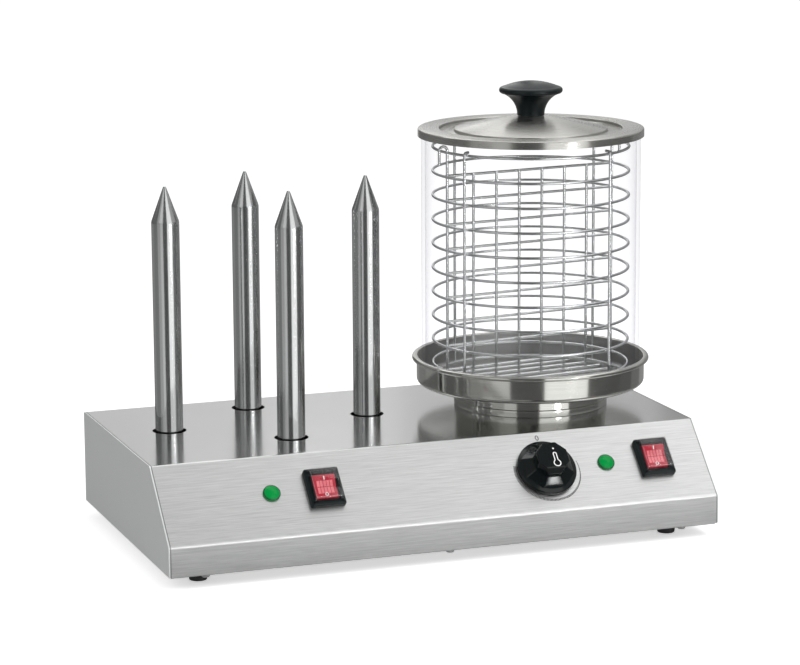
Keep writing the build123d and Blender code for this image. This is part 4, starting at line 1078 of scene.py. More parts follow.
@dataclass
class Pan:
    """Water pan with a rolled rim, on its collar."""

    inner: float = 102.6
    sheet: float = 1.0
    corner: float = 3.4
    bead: float = 2.1
    stud: float = 3.0
    collar: float = 68.8
    band: float = 70.1
    band_height: float = 6.2
    foot: float = 56.0
    seat: float = 58.0
    wall: float = 1.5
    collar_round: float = 0.4
    skin: float = 0.1
    pan_sides: int = 160
    collar_sides: int = 128

    def build(self) -> None:
        """Make the pan and the collar."""
        self.make_pan()
        self.make_collar()

    def make_pan(self) -> None:
        """Spin the pan with its rolled rim and its stud."""
        low, high = box_of("water_pan")
        base = box_of("neck_collar")[1].z
        floor = base + self.sheet
        outer = self.inner + self.sheet
        round_out = self.corner + self.sheet
        rim = high.z - self.bead
        roll = outer + self.bead
        outline = Outline(0.0, low.z).line((self.stud, low.z), (self.stud, base), (outer - round_out, base))
        outline.arc(outer - round_out, base + round_out, 90.0, steps=8)
        outline.line((outer, rim - self.bead), (roll, rim - self.bead)).arc(roll, rim, 180.0, steps=12)
        outline.line((outer, high.z)).arc(outer, rim + self.sheet, 90.0, steps=6)
        inside = floor + self.corner
        outline.line((self.inner, inside)).arc(self.inner - self.corner, inside, -90.0, steps=8)
        mesh = outline.line((0.0, floor)).turn(self.pan_sides)
        for face in mesh.faces:
            middle = face.calc_center_median()
            face.material_index = int(middle.z > floor - self.skin and middle.xy.length < self.inner)
        name, node = "water_pan_skin", "water_pan"
        finish_piece(name, mesh, SPUN_STEEL, "base", node, PAN_PLACE, second=PAN_INSIDE)

    def make_collar(self) -> None:
        """Spin the collar with its wider band."""
        low, high = box_of("neck_collar")
        inner = self.collar - self.wall
        outline = Outline(self.foot, low.z).line(
            (self.band, low.z),
            (self.band, low.z + self.band_height),
            (self.collar, low.z + self.band_height),
            (self.collar, high.z),
            (self.seat, high.z),
            (self.seat, high.z - self.wall),
            (inner, high.z - self.wall),
            (inner, low.z + self.wall),
            (self.foot, low.z + self.wall),
        )
        mesh = outline.close().turn(self.collar_sides)
        ease_edges(mesh, self.collar_round)
        finish_piece("collar_skin", mesh, SPUN_STEEL, "base", "neck_collar", PAN_PLACE)


@dataclass
class GlassTube:
    """Open glass cylinder with fire-polished rims."""

    wall: float = 3.5
    polish: float = 1.3
    sides: int = 192

    def build(self) -> None:
        """Spin the cylinder."""
        low, high = box_of("glass_cylinder")
        outer = (high.x - low.x) / 2
        inner = outer - self.wall
        outline = Outline(inner, low.z).line((outer, low.z), (outer, high.z), (inner, high.z))
        mesh = outline.close().turn(self.sides)
        ease_edges(mesh, self.polish, segments=4)
        finish_piece("glass_tube", mesh, GLASS, "glass", "glass_cylinder", PAN_PLACE)


@dataclass
class Basket:
    """Wire basket: hoops, uprights, a divider with hooks, and a floor."""

    radius: float = 88.4
    wire: float = 1.3
    gap: float = 0.02
    pitch: float = 22.0
    hoops: int = 10
    top: float = 331.2
    bottom: float = 120.2
    upright_angle: float = 28.0
    divider_angle: float = 8.0
    bars: int = 6
    bar_pitch: float = 23.6
    hook_bend: float = 4.0
    hook_rise: float = 1.0
    hook_drop: float = 12.0
    floor_pitch: float = 17.0
    floor_wires: int = 9
    wire_sides: int = 12
    hoop_steps: int = 120

    def build(self) -> None:
        """Make the five wire pieces."""
        self.make_hoops()
        self.make_uprights()
        self.make_divider()
        self.make_hooks()
        self.make_floor()

    def levels(self) -> list[float]:
        """Heights of the hoops, from the lowest."""
        return [self.bottom] + [self.top - step * self.pitch for step in reversed(range(self.hoops))]

    def half_width(self) -> float:
        """Distance from the axis to the divider's end wires."""
        return self.radius - 2 * self.wire - self.gap

    def put(self, name: str, mesh: Mesh, node: str, degrees: float) -> None:
        """Finish one wire piece that is drawn about the basket's own axis.

        Args:
            name: name of the piece.
            mesh: its mesh.
            node: node that it replaces.
            degrees: turn about the axis.
        """
        place = PAN_PLACE @ Matrix.Rotation(math.radians(degrees), 4, "Z")
        finish_piece(name, mesh, WIRE_STEEL, "basket", node, place, crease=60.0)

    def lay(self, mesh: Mesh, start: Spot, end: Spot) -> None:
        """Lay one straight wire from its start to its end."""
        step = Vector(end) - Vector(start)
        Strand(mesh, start, step.normalized(), self.wire, self.wire_sides).run(*step)

    def make_hoops(self) -> None:
        """Bend a round wire into each hoop."""
        mesh = bmesh.new()
        for height in self.levels():
            stand = Matrix.Translation((self.radius, 0.0, height)) @ Matrix.Rotation(math.pi / 2, 4, "X")
            ring = bmesh.ops.create_circle(mesh, segments=self.wire_sides, radius=self.wire, matrix=stand)
            made = ring["verts"]
            edges = list({edge for vertex in made for edge in vertex.link_edges})
            spin_round(mesh, [*made, *edges], self.hoop_steps)
        self.put("hoops", mesh, "basket_rings", 0.0)

    def make_uprights(self) -> None:
        """Lay the four outer wires, whose tops bend in over the top hoop."""
        step = 2 * self.wire + self.gap
        outer = self.radius + step
        low = self.bottom - self.wire
        mesh = bmesh.new()
        strand = Strand(mesh, (outer, 0.0, low), UP, self.wire, self.wire_sides).run(0.0, 0.0, self.top - low)
        strand.bend((self.radius, 0.0, self.top), (0.0, -1.0, 0.0), 90.0).run(-step, 0.0, 0.0)
        first = [*mesh.verts, *mesh.edges, *mesh.faces]
        for turn in (90.0, 180.0, 270.0):
            copied = bmesh.ops.duplicate(mesh, geom=first)["geom"]
            matrix = Matrix.Rotation(math.radians(turn), 3, "Z")
            bmesh.ops.rotate(mesh, cent=ORIGIN, matrix=matrix, verts=pick(copied, Vert))
        self.put("uprights", mesh, "basket_uprights", self.upright_angle)

    def make_divider(self) -> None:
        """Lay the bars and the cross wires behind them."""
        half = self.half_width()
        low = self.bottom + self.wire
        top = self.top - self.pitch + self.wire
        mesh = bmesh.new()
        for step in range(self.bars):
            x = (step - (self.bars - 1) / 2) * self.bar_pitch
            self.lay(mesh, (x, 0.0, low), (x, 0.0, top))
        for height in self.levels()[1:-1]:
            self.lay(mesh, (-half, 2 * self.wire, height), (half, 2 * self.wire, height))
        self.put("divider", mesh, "basket_divider", self.divider_angle)

    def make_hooks(self) -> None:
        """Lay the end wires that hook over the top hoop."""
        half = self.half_width()
        low = self.bottom - self.wire
        spring = self.top + self.hook_rise
        mesh = bmesh.new()
        for side in (1.0, -1.0):
            strand = Strand(mesh, (side * half, 0.0, low), UP, self.wire, self.wire_sides)
            strand.run(0.0, 0.0, spring - low)
            strand.bend((side * (half + self.hook_bend), 0.0, spring), (0.0, side, 0.0), 180.0, steps=12)
            strand.run(0.0, 0.0, -(self.hook_rise + self.hook_drop))
        self.put("hooks", mesh, "basket_hooks", self.divider_angle)

    def make_floor(self) -> None:
        """Lay the floor wires under the lowest hoop."""
        height = self.bottom - 2 * self.wire
        mesh = bmesh.new()
        for step in range(self.floor_wires):
            y = (step - (self.floor_wires - 1) / 2) * self.floor_pitch
            half = math.sqrt(self.radius**2 - y**2)
            self.lay(mesh, (-half, y, height), (half, y, height))
        self.put("floor_wires", mesh, "basket_floor", self.divider_angle)


@dataclass
class Lid:
    """Pressed lid with its mushroom-shaped knob."""

    sheet: float = 1.2
    skirt: float = 7.0
    edge: float = 1.5
    groove_outer: float = 82.4
    groove_inner: float = 69.0
    groove: float = 3.2
    step: float = 2.6
    seat: float = 14.0
    hole: float = 2.55
    knob_base: float = 12.3
    knob_rim: float = 2.9
    knob_radius: float = 28.6
    knob_rim_height: float = 22.2
    shell_round: float = 0.9
    shell_sides: int = 192
    knob_sides: int = 96

    def build(self) -> None:
        """Make the shell and the knob."""
        self.make_shell()
        self.make_knob()

    def make_shell(self) -> None:
        """Spin the outside of the lid and give it the thickness of the sheet."""
        low, high = box_of("lid_shell")
        radius = (high.x - low.x) / 2
        top = low.z + self.skirt
        outline = Outline(radius, low.z).line((radius, top - self.edge))
        outline.arc(radius - self.edge, top - self.edge, 90.0)
        outline.line(
            (self.groove_outer, top),
            (self.groove_outer, top - self.groove),
            (self.groove_inner, top - self.groove),
            (self.groove_inner, top - self.groove + self.step),
            (self.seat, high.z),
            (self.hole, high.z),
        )
        mesh = outline.turn(self.shell_sides)
        ease_edges(mesh, self.shell_round)
        thicken(mesh, self.sheet)
        finish_piece("lid_skin", mesh, LID_STEEL, "lid", "lid_shell", PAN_PLACE)

    def make_knob(self) -> None:
        """Spin the knob with its flared neck, rounded rim and crown."""
        low, high = box_of("lid_knob")
        edge = self.knob_radius - self.knob_rim
        rise = self.knob_rim_height - self.knob_rim
        flare = 2 * math.atan((edge - self.knob_base) / rise)
        sweep = rise / math.sin(flare)
        rim = low.z + self.knob_rim_height
        crown = high.z - rim - self.knob_rim
        ball = (edge**2 + crown**2) / (2 * crown)
        outline = Outline(0.0, low.z).line((self.knob_base, low.z))
        outline.arc(self.knob_base + sweep, low.z, -math.degrees(flare), steps=14)
        outline.arc(edge, rim, 180.0, steps=10)
        outline.arc(0.0, high.z - ball, math.degrees(math.asin(edge / ball)), steps=14)
        mesh = outline.turn(self.knob_sides)
        name, node = "lid_knob_skin", "lid_knob"
        finish_piece(name, mesh, LID_KNOB_BLACK, "lid", node, PAN_PLACE, crease=50.0)


class Side(Enum):
    """Half of the panel that a switch or a lamp stands on."""

    LEFT = "left"
    RIGHT = "right"


@dataclass
class Switch:
    """Rocker switch: black bezel, dished red rocker with ribs and signs, and clear cover."""

    side: Side
    x: float
    down: float = 37.3
    bezel: Spot = (31.0, 36.5, 5.0)
    bezel_corner: float = 2.0
    bezel_chamfer: float = 1.2
    pocket_width: float = 21.0
    pocket_depth: float = 12.0
    radius: float = 12.0
    width: float = 20.0
    crest: float = 6.2
    dish: float = 9.0
    depth: float = 7.0
    tilt: float = 9.0
    pivot: float = 0.6
    rocker_round: float = 0.7
    highlight_strokes: int = 5
    highlight_width: float = 2.4
    highlight_pitch: float = 2.9
    highlight_margin: float = 0.3
    highlight_reach: Point = (2.9, 3.3)
    on_line: Point = (1.0, 3.2)
    on_reach: float = 7.9
    off_ring: Point = (0.7, 1.3)
    off_reach: float = 7.2
    cover: Spot = (25.0, 29.5, 7.5)
    cover_wall: float = 0.8
    cover_corner: float = 1.6
    edge_slant: float = 0.8

    def build(self) -> None:
        """Make the bezel, the rocker and the cover."""
        self.make_bezel()
        self.make_rocker()
        self.make_cover()

    def make_bezel(self) -> None:
        """Shape the frame with its rounded corners, chamfered crown and deep pocket."""
        mesh = stand_box(self.bezel, 0.0)
        posts = [edge for edge in mesh.edges if edge.verts[0].co.xy == edge.verts[1].co.xy]
        round_off(mesh, posts, self.bezel_corner, segments=5)
        mesh.faces.ensure_lookup_table()
        crown = max(mesh.faces, key=lambda face: face.calc_center_median().z)
        round_off(mesh, list(crown.edges), self.bezel_chamfer, segments=2)
        crown = max(mesh.faces, key=lambda face: (round(face.calc_center_median().z, 3), face.calc_area()))
        inset = (self.bezel[0] - self.pocket_width) / 2 - self.bezel_chamfer
        bmesh.ops.inset_region(mesh, faces=[crown], thickness=inset, use_even_offset=True)
        draw_out(mesh, [crown], (0.0, 0.0, -self.pocket_depth))
        bmesh.ops.delete(mesh, geom=[crown], context="FACES_ONLY")
        name, node = (start + self.side.value for start in ("bezel_", "switch_frame_"))
        place = PANEL.place(self.x, self.down)
        finish_piece(name, mesh, BEZEL_BLACK, "base", node, place, crease=25.0)

    def valley(self) -> float:
        """Height of the lowest line of the dished face."""
        return self.crest - self.radius * math.tan(math.radians(self.dish))

    def make_rocker(self) -> None:
        """Shape the rocker with a dished face, and lay its ribs and signs on it."""
        rise = math.tan(math.radians(self.dish))
        square = 1 + rise**2
        crest_y = (math.sqrt(self.radius**2 * square - self.valley() ** 2) - self.valley() * rise) / square
        crest_z = self.valley() + crest_y * rise
        low_y = math.sqrt(self.radius**2 - self.depth**2)
        sweep = math.degrees(math.atan2(crest_z, crest_y) + math.asin(self.depth / self.radius))
        outline = Outline(crest_y, crest_z).arc(0.0, 0.0, -sweep, steps=12).line((-low_y, -self.depth))
        outline.arc(0.0, 0.0, -sweep, steps=12).line((0.0, self.valley()))
        mesh = outline.close().push(self.width)
        ease_edges(mesh, self.rocker_round, degrees=20.0)
        tilt = Matrix.Translation((0.0, 0.0, self.pivot)) @ Matrix.Rotation(math.radians(self.tilt), 4, "X")
        place = PANEL.place(self.x, self.down) @ tilt
        turned = place @ Matrix.Rotation(math.pi / 2, 4, "Z")
        side = self.side.value
        body = "switch_rocker_" + side
        finish_piece(f"rocker_{side}", mesh, ROCKER_RED, body, body, turned, crease=40.0)
        # The pale strokes laid on each half of the rocker are painted highlight.
        for half, reach, way in zip(("upper", "lower"), self.highlight_reach, (1, -1)):
            highlight_strokes = self.draw_highlight_strokes(reach - self.highlight_margin)
            self.lay(highlight_strokes, reach, way, 0.0)
            finish_piece(f"{half}_ribs_{side}", highlight_strokes, ROCKER_HIGHLIGHT_PAINT, body, place=place)
        on_mark, off_mark = bmesh.new(), bmesh.new()
        width, length = self.on_line
        Stroke(on_mark, 0.0, -length / 2, 90.0, width).run(length)
        self.lay(on_mark, self.on_reach, 1, INK_THICKNESS)
        width, radius = self.off_ring
        Stroke(off_mark, radius, 0.0, 90.0, width).bend(radius, 360.0, steps=24)
        self.lay(off_mark, self.off_reach, -1, INK_THICKNESS)
        for name, mark in (("on_mark_", on_mark), ("off_mark_", off_mark)):
            finish_piece(name + side, mark, WHITE_INK, body, place=place)

    def draw_highlight_strokes(self, half: float) -> Mesh:
        """Draw the row of flat ribs.

        Args:
            half: half of a rib's length.

        Returns:
            The flat ribs.
        """
        mesh = bmesh.new()
        for step in range(self.highlight_strokes):
            x = (step - (self.highlight_strokes - 1) / 2) * self.highlight_pitch
            Stroke(mesh, x, -half, 90.0, self.highlight_width).run(2 * half)
        return mesh

    def lay(self, mesh: Mesh, reach: float, way: int, lift: float) -> None:
        """Lay a mark on one half of the dished face.

        Args:
            mesh: flat mark about its own middle.
            reach: distance of the mark from the lowest line of the face.
            way: 1 for the upper half and -1 for the lower.
            lift: height of the mark's underside above the face.
        """
        raise_print(mesh, lift)
        bmesh.ops.translate(mesh, vec=(0.0, way * reach, 0.0), verts=mesh.verts)
        slope = Matrix.Rotation(math.radians(way * self.dish), 4, "X")
        place = Matrix.Translation((0.0, 0.0, self.valley())) @ slope
        bmesh.ops.transform(mesh, matrix=place, verts=mesh.verts)

    def make_cover(self) -> None:
        """Shape the clear cover, whose rounded edges get a finish of their own."""
        mesh = stand_box(self.cover, self.bezel[2])
        low = min(mesh.faces, key=lambda face: face.calc_center_median().z)
        bmesh.ops.delete(mesh, geom=[low], context="FACES_ONLY")
        closed = [edge for edge in mesh.edges if len(edge.link_faces) == 2]
        # The middle faces of the rounding get the milky finish of painted highlight.
        for face in round_off(mesh, closed, self.cover_corner, segments=5):
            face.material_index = int(max(abs(value) for value in face.normal) < self.edge_slant)
        thicken(mesh, self.cover_wall)
        name, node = (start + self.side.value for start in ("cover_", "switch_cover_"))
        place = PANEL.place(self.x, self.down)
        finish_piece(name, mesh, CLEAR_PLASTIC, "base", node, place, second=CLEAR_EDGE_HIGHLIGHT)


@dataclass
class PilotLamp:
    """Domed green lens with the darker ring at its foot."""

    side: Side
    x: float
    down: float = 37.0
    radius: float = 7.6
    rim: float = 1.2
    height: float = 3.6
    stem: float = 5.6
    stem_depth: float = 6.0
    ring_inner: float = 6.5
    ring_levels: Spot = (1.0, 1.5, 1.9)
    lens_round: float = 0.5
    ring_round: float = 0.15
    sides: int = 64

    def build(self) -> None:
        """Spin the lens and its ring."""
        rise = self.height - self.rim
        ball = (self.radius**2 + rise**2) / (2 * rise)
        lens = Outline(0.0, -self.stem_depth).line(
            (self.stem, -self.stem_depth), (self.stem, 0.0), (self.radius, 0.0), (self.radius, self.rim)
        )
        lens.arc(0.0, self.height - ball, math.degrees(math.asin(self.radius / ball)), steps=12)
        mesh = lens.turn(self.sides)
        ease_edges(mesh, self.lens_round, degrees=40.0)
        name, node = (start + self.side.value for start in ("lens_", "pilot_lens_"))
        place = PANEL.place(self.x, self.down)
        finish_piece(name, mesh, LENS_GREEN, "base", node, place)
        # The dark green ring inside the lens's foot is painted shade.
        low, edge, high = self.ring_levels
        ring = Outline(self.ring_inner, low).line((self.radius, low), (self.radius, edge))
        mesh = ring.line((self.ring_inner, high)).close().turn(self.sides)
        ease_edges(mesh, self.ring_round, segments=2)
        finish_piece(f"lens_rim_{self.side.value}", mesh, LENS_SHADE_RING, "base", place=place)


@dataclass
class Thermostat:
    """Thermostat knob with its thermometer and pointer dot, and the print round it."""

    x: float = 98.2
    down: float = 38.4
    skirt: float = 26.6
    skirt_low: float = 0.5
    skirt_edge: float = 3.8
    skirt_chamfer: float = 0.6
    skirt_height: float = 5.4
    skirt_round: float = 0.4
    skirt_sides: int = 128
    sides: int = 8
    flare: float = 45.6
    flare_low: float = 5.2
    flare_height: float = 6.0
    grip: float = 28.0
    draft: float = 1.2
    height: float = 22.0
    grip_round: float = 0.7
    facet_width: float = 3.0
    facet_angle: float = 58.0
    tube: float = 1.4
    tube_length: float = 6.4
    bulb: float = 3.05
    bulb_y: float = -6.9
    line: float = 0.85
    sign_x: float = 2.1
    dot: float = 0.8
    dot_y: float = 7.6
    scale_shift: Point = (0.4, 1.6)
    scale_rim: float = 30.4
    scale_from: float = 166.0
    scale_to: float = 374.0
    scale_line_from: float = 0.6
    scale_line: float = 0.4
    tick: float = 0.75
    ticks: int = 88
    tick_length: Point = (0.2, 2.7)
    tick_growth: float = 1.5
    zero: Point = (98.6, 6.4)
    zero_size: float = 7.4

    def build(self) -> None:
        """Make the knob and the print."""
        self.make_knob()
        self.make_signs()
        self.make_scale()
        self.make_zero()

    def make_knob(self) -> None:
        """Shape the round skirt, and the eight-sided grip that flares to it."""
        skirt = Outline(0.0, self.skirt_low).line(
            (self.skirt, self.skirt_low),
            (self.skirt, self.skirt_edge),
            (self.skirt - self.skirt_chamfer, self.skirt_edge + self.skirt_chamfer),
            (self.flare / 2, self.skirt_height),
            (0.0, self.skirt_height),
        )
        mesh = skirt.turn(self.skirt_sides)
        ease_edges(mesh, self.skirt_round, segments=2)
        take_in(mesh, settle("grip", self.shape_grip()))
        place = PANEL.place(self.x, self.down)
        body = "control_knob"
        finish_piece("thermostat_knob", mesh, CONTROL_BLACK, body, body, place, crease=10.0)

    def shape_grip(self) -> Mesh:
        """Draw the grip up from its flare and cut the slanting facet.

        Returns:
            The grip.
        """
        mesh = bmesh.new()
        half_side = math.pi / self.sides
        place = Matrix.Translation((0.0, 0.0, self.flare_low)) @ Matrix.Rotation(half_side, 4, "Z")
        radius = self.flare / 2 * (1 / math.cos(half_side))
        bmesh.ops.create_circle(mesh, cap_ends=True, segments=self.sides, radius=radius, matrix=place)
        top = list(mesh.faces)
        height, width = self.flare_low, self.flare
        waist = self.skirt_height + self.flare_height
        for level, across in ((waist, self.grip + self.draft), (self.height, self.grip)):
            drawn = draw_out(mesh, top, (0.0, 0.0, level - height))
            share = across / width
            bmesh.ops.scale(mesh, vec=(share, share, 1.0), verts=pick(drawn, Vert))
            top = pick(drawn, Face)
            height, width = level, across
        angle = math.radians(self.facet_angle)
        cut = bmesh.ops.bisect_plane(
            mesh,
            geom=[*mesh.verts, *mesh.edges, *mesh.faces],
            plane_co=(0.0, self.facet_width - self.grip / 2, self.height),
            plane_no=(0.0, -math.sin(angle), math.cos(angle)),
            clear_outer=True,
        )["geom_cut"]
        bmesh.ops.contextual_create(mesh, geom=pick(cut, Edge))
        ease_edges(mesh, self.grip_round, degrees=12.0)
        return mesh

    def make_signs(self) -> None:
        """Print the thermometer and the pointer dot on the knob."""
        lean = math.degrees(math.asin(self.tube / self.bulb))
        foot = self.bulb * math.cos(math.radians(lean)) + self.bulb_y
        mesh, dot = bmesh.new(), bmesh.new()
        tube = Stroke(mesh, self.sign_x + self.tube, foot, 90.0, self.line)
        tube.run(self.tube_length).bend(self.tube, 180.0).run(self.tube_length)
        bulb = Stroke(mesh, self.sign_x - self.tube, foot, 180.0 + lean, self.line)
        bulb.bend(self.bulb, 360.0 - 2 * lean, steps=32)
        bmesh.ops.create_circle(dot, cap_ends=True, segments=24, radius=self.dot)
        bmesh.ops.translate(dot, vec=(self.sign_x, self.dot_y, 0.0), verts=dot.verts)
        place = PANEL.place(self.x, self.down)
        for name, sign in (("thermometer", mesh), ("pointer_dot", dot)):
            raise_print(sign, self.height + INK_LIFT)
            finish_piece(name, sign, WHITE_INK, "control_knob", place=place)

    def make_scale(self) -> None:
        """Print the wedge of short strokes that widens towards the hot end, and its outer line."""
        mesh = bmesh.new()
        span = self.scale_to - self.scale_from
        least, most = self.tick_length
        for step in range(self.ticks):
            share = step / (self.ticks - 1)
            degrees = self.scale_from + span * share
            length = most * min(1.0, self.tick_growth * (1 - share)) + least
            start = Vector((self.scale_rim - length, 0.0)) @ Matrix.Rotation(-math.radians(degrees), 2)
            Stroke(mesh, start.x, start.y, degrees, self.tick).run(length)
        degrees = self.scale_from + self.scale_line_from * span
        start = Vector((self.scale_rim, 0.0)) @ Matrix.Rotation(-math.radians(degrees), 2)
        line = Stroke(mesh, start.x, start.y, degrees + 90.0, self.scale_line)
        line.bend(self.scale_rim, self.scale_to - degrees, steps=64)
        raise_print(mesh, INK_LIFT)
        place = PANEL.place(self.x + self.scale_shift[0], self.down + self.scale_shift[1])
        finish_piece("heat_scale", mesh, GREY_INK, "base", place=place)

    def make_zero(self) -> None:
        """Print the zero above the knob."""
        text = bpy.data.curves.new("zero", "FONT")
        text.body = "0"
        text.size = self.zero_size
        text.align_x = "CENTER"
        text.align_y = "CENTER"
        holder = put_up("zero_text", text)
        flat = bpy.data.meshes.new_from_object(holder.evaluated_get(bpy.context.evaluated_depsgraph_get()))
        bpy.data.objects.remove(holder)
        mesh = bmesh.new()
        take_in(mesh, flat)
        raise_print(mesh, INK_LIFT)
        finish_piece("zero_mark", mesh, GREY_INK, "base", place=PANEL.place(*self.zero))


@dataclass
class Controls:
    """Switches, lamps, thermostat knob and the print on the sloping panel."""

    switches: Point = (-105.0, 200.3)
    lamps: Point = (-151.2, 155.1)

    def build(self) -> None:
        """Make everything on the panel."""
        for side, x in zip(Side, self.switches):
            Switch(side, x).build()
        for side, x in zip(Side, self.lamps):
            PilotLamp(side, x).build()
        Thermostat().build()


@dataclass
class Feet:
    """Four tapered rubber feet."""

    top: float = 9.0
    bottom: float = 7.6
    recess: float = 4.4
    recess_depth: float = 5.0
    rim: float = 0.8
    sides: int = 48

    def build(self) -> None:
        """Spin one foot for each node."""
        for corner in ("front_left", "front_right", "back_left", "back_right"):
            node = "rubber_foot_" + corner
            high = box_of(node)[1].z
            outline = Outline(0.0, self.recess_depth).line(
                (self.recess, self.recess_depth),
                (self.recess, 0.0),
                (self.bottom, 0.0),
                (self.top, high),
                (0.0, high),
            )
            mesh = outline.turn(self.sides)
            ease_edges(mesh, self.rim)
            finish_piece("foot_" + corner, mesh, RUBBER, "base", node, place_of(node))


@dataclass
class Frame:
    """Nodes of the frame that stay as they are and only get a finish."""

    finishes: dict[str, Finish] = field(
        default_factory=lambda: {
            "casing_shell": CASE_STEEL,
            "side_panel": SIDE_STEEL,
            "heating_plate": ALUMINIUM,
            "sensor_bulb": BRASS,
            "capillary": BRASS,
            "gland_nut": PLAIN_STEEL,
            "cable_gland": HIDDEN_BLACK,
            "terminal_block": CERAMIC,
            "thermostat_body": HIDDEN_BLACK,
            "pilot_lamp_body": HIDDEN_BLACK,
            "safety_cutout": HIDDEN_BLACK,
        }
    )

    def build(self) -> None:
        """Give each node its finish."""
        for name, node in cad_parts.items():
            found = [finish for start, finish in self.finishes.items() if name.startswith(start)]
            finish = found[0] if found else PLAIN_STEEL
            node.data.materials.clear()
            node.data.materials.append(finish.material())
            LOG.info("%s: %s", name, finish.name)


@dataclass(frozen=True)
class SoftLamp:
    """Soft square lamp: turn and rise in degrees, distance and size in metres, power in watts."""

    name: str
    turn: float
    rise: float
    away: float
    size: float
    power: float


@dataclass
class Studio:
    """Camera in millimetres, and lamps, pale floor and reflecting cards in metres."""

    target: Spot = (3.975, -2.5, 175.82)
    azimuth: float = -19.809
    elevation: float = 11.204
    roll: float = -0.319
    distance: float = 2702.06
    lens: float = 137.45
    ambient: float = 0.55
    backdrop: float = 0.5
    card_radius: float = 2.6
    card_low: float = -2.2
    card_steps: Point = (0.0, 0.9)
    card_high: float = 2.4
    card_count: int = 72
    # Each card in a ring: the turn from the camera at which it ends, in degrees, and its level.
    floor_cards: tuple[Point, ...] = (
        (15.0, 0.1), (60.0, 1.2), (120.0, 0.12), (140.0, 0.18), (165.0, 0.3), (200.0, 0.3),
        (223.0, 0.22), (255.0, 0.28), (295.0, 0.22), (320.0, 0.42), (341.0, 0.65), (360.0, 0.1),
    )
    eye_cards: tuple[Point, ...] = (
        (15.0, 0.1), (60.0, 1.2), (120.0, 0.15), (160.0, 0.26), (170.0, 0.34), (175.0, 0.52),
        (180.0, 0.62), (185.0, 0.73), (194.0, 0.68), (258.0, 0.14), (295.0, 0.15), (320.0, 0.36),
        (341.0, 0.55), (360.0, 0.1),
    )
    high_cards: tuple[Point, ...] = (
        (15.0, 0.12), (60.0, 1.1), (120.0, 0.4), (160.0, 0.45), (170.0, 0.6), (175.0, 1.15),
        (180.0, 0.15), (185.0, 1.7), (190.0, 1.2), (258.0, 0.35), (290.0, 0.15), (310.0, 0.4),
        (341.0, 0.7), (360.0, 0.12),
    )
    # Levels across the canopy: share of the way, and level.
    canopy: tuple[Point, ...] = (
        (0.0, 0.25), (0.43, 0.25), (0.49, 1.2), (0.556, 1.75), (0.63, 2.0), (0.75, 1.1),
    )
    canopy_turn: float = 41.0
    mat: Point = (0.8, 0.17)
    mat_lift: float = 0.0005
    mat_level: float = 0.29
    dark_mat: Point = (0.5, 0.17)
    dark_mat_level: float = 0.1
    pit_level: float = 0.45
    # Dark card under the canopy.
    flag: Spot = (0.87, -0.765, 2.38)
    flag_size: Point = (0.74, 0.28)
    flag_level: float = 0.05
    # Small bright box in front, which the knob mirrors.
    box_turn: float = 41.7
    box_shift: Spot = (0.093, -0.13, -0.119)
    box_rise: float = 0.55
    box_size: Point = (0.27, 0.2)
    box_level: float = 17.0
    box_away: float = 0.9
    sensor: float = 36.0
    camera_reach: float = 30.0
    floor_size: float = 9.0
    floor_colour: float = 0.93
    lamps: tuple[SoftLamp, ...] = (
        SoftLamp("key_lamp", turn=38.0, rise=42.0, away=2.2, size=1.5, power=30.0),
        SoftLamp("fill_lamp", turn=-48.0, rise=30.0, away=2.4, size=1.4, power=12.0),
    )

    def build(self) -> None:
        """Set everything up."""
        self.set_camera()
        self.set_world()
        self.make_floor()
        heights = (self.card_low, *self.card_steps, self.card_high)
        rings = {"floor_cards": self.floor_cards, "eye_cards": self.eye_cards, "high_cards": self.high_cards}
        for (name, cards), low, high in zip(rings.items(), heights, heights[1:]):
            self.make_cards(name, cards, low, high)
        self.make_canopy()
        mat = Matrix.Translation((0.0, CASE_LOW.y * MM - self.mat[1] / 2, self.mat_lift))
        self.make_grey("mat", self.mat, mat, self.mat_level)
        beside = Matrix.Translation(((self.mat[0] + self.dark_mat[0]) / 2, 0.0, 0.0))
        self.make_grey("dark_mat", self.dark_mat, beside @ mat, self.dark_mat_level)
        pit = Matrix.Translation((0.0, 0.0, self.card_low))
        self.make_grey("pit", (2 * self.card_radius,) * 2, pit, self.pit_level)
        self.make_grey("flag", self.flag_size, Matrix.Translation(self.flag), self.flag_level)
        before = self.facing(self.box_turn, self.box_rise, self.box_away * self.card_radius)
        box = Matrix.Translation(self.box_shift) @ before
        self.make_grey("front_box", self.box_size, box, self.box_level)
        for lamp in self.lamps:
            self.set_lamp(lamp)
        bpy.context.scene.view_settings.view_transform = "Standard"

    def away(self, turn: float, rise: float) -> Vector:
        """Direction from the object.

        Args:
            turn: degrees to the camera's right.
            rise: degrees above the floor.

        Returns:
            Unit vector.
        """
        azimuth = math.radians(self.azimuth + turn)
        up = math.radians(rise)
        return Vector((math.sin(azimuth) * math.cos(up), -math.cos(azimuth) * math.cos(up), math.sin(up)))

    def facing(self, turn: float, rise: float, away: float) -> Matrix:
        """Place of something that faces the object.

        Args:
            turn: degrees to the camera's right.
            rise: degrees above the floor.
            away: distance in metres.

        Returns:
            The place in metres.
        """
        direction = self.away(turn, rise)
        turned = direction.to_track_quat("Z", "Y").to_matrix().to_4x4()
        return Matrix.Translation(Vector(self.target) * MM + direction * away) @ turned

    def set_camera(self) -> None:
        """Put the camera where the photograph was taken from."""
        back = self.away(0.0, self.elevation)
        azimuth = math.radians(self.azimuth)
        level = Vector((math.cos(azimuth), math.sin(azimuth), 0.0))
        upright = back.cross(level)
        roll = math.radians(self.roll)
        right = level * math.cos(roll) + upright * math.sin(roll)
        up = upright * math.cos(roll) - level * math.sin(roll)
        data = bpy.data.cameras.new("camera")
        data.sensor_width = self.sensor
        data.lens = self.lens
        data.clip_end = self.camera_reach
        camera = put_up("camera", data)
        turn = Matrix((right, up, back)).transposed().to_4x4()
        spot = (Vector(self.target) + back * self.distance) * MM
        camera.matrix_world = Matrix.Translation(spot) @ turn
        bpy.context.scene.camera = camera

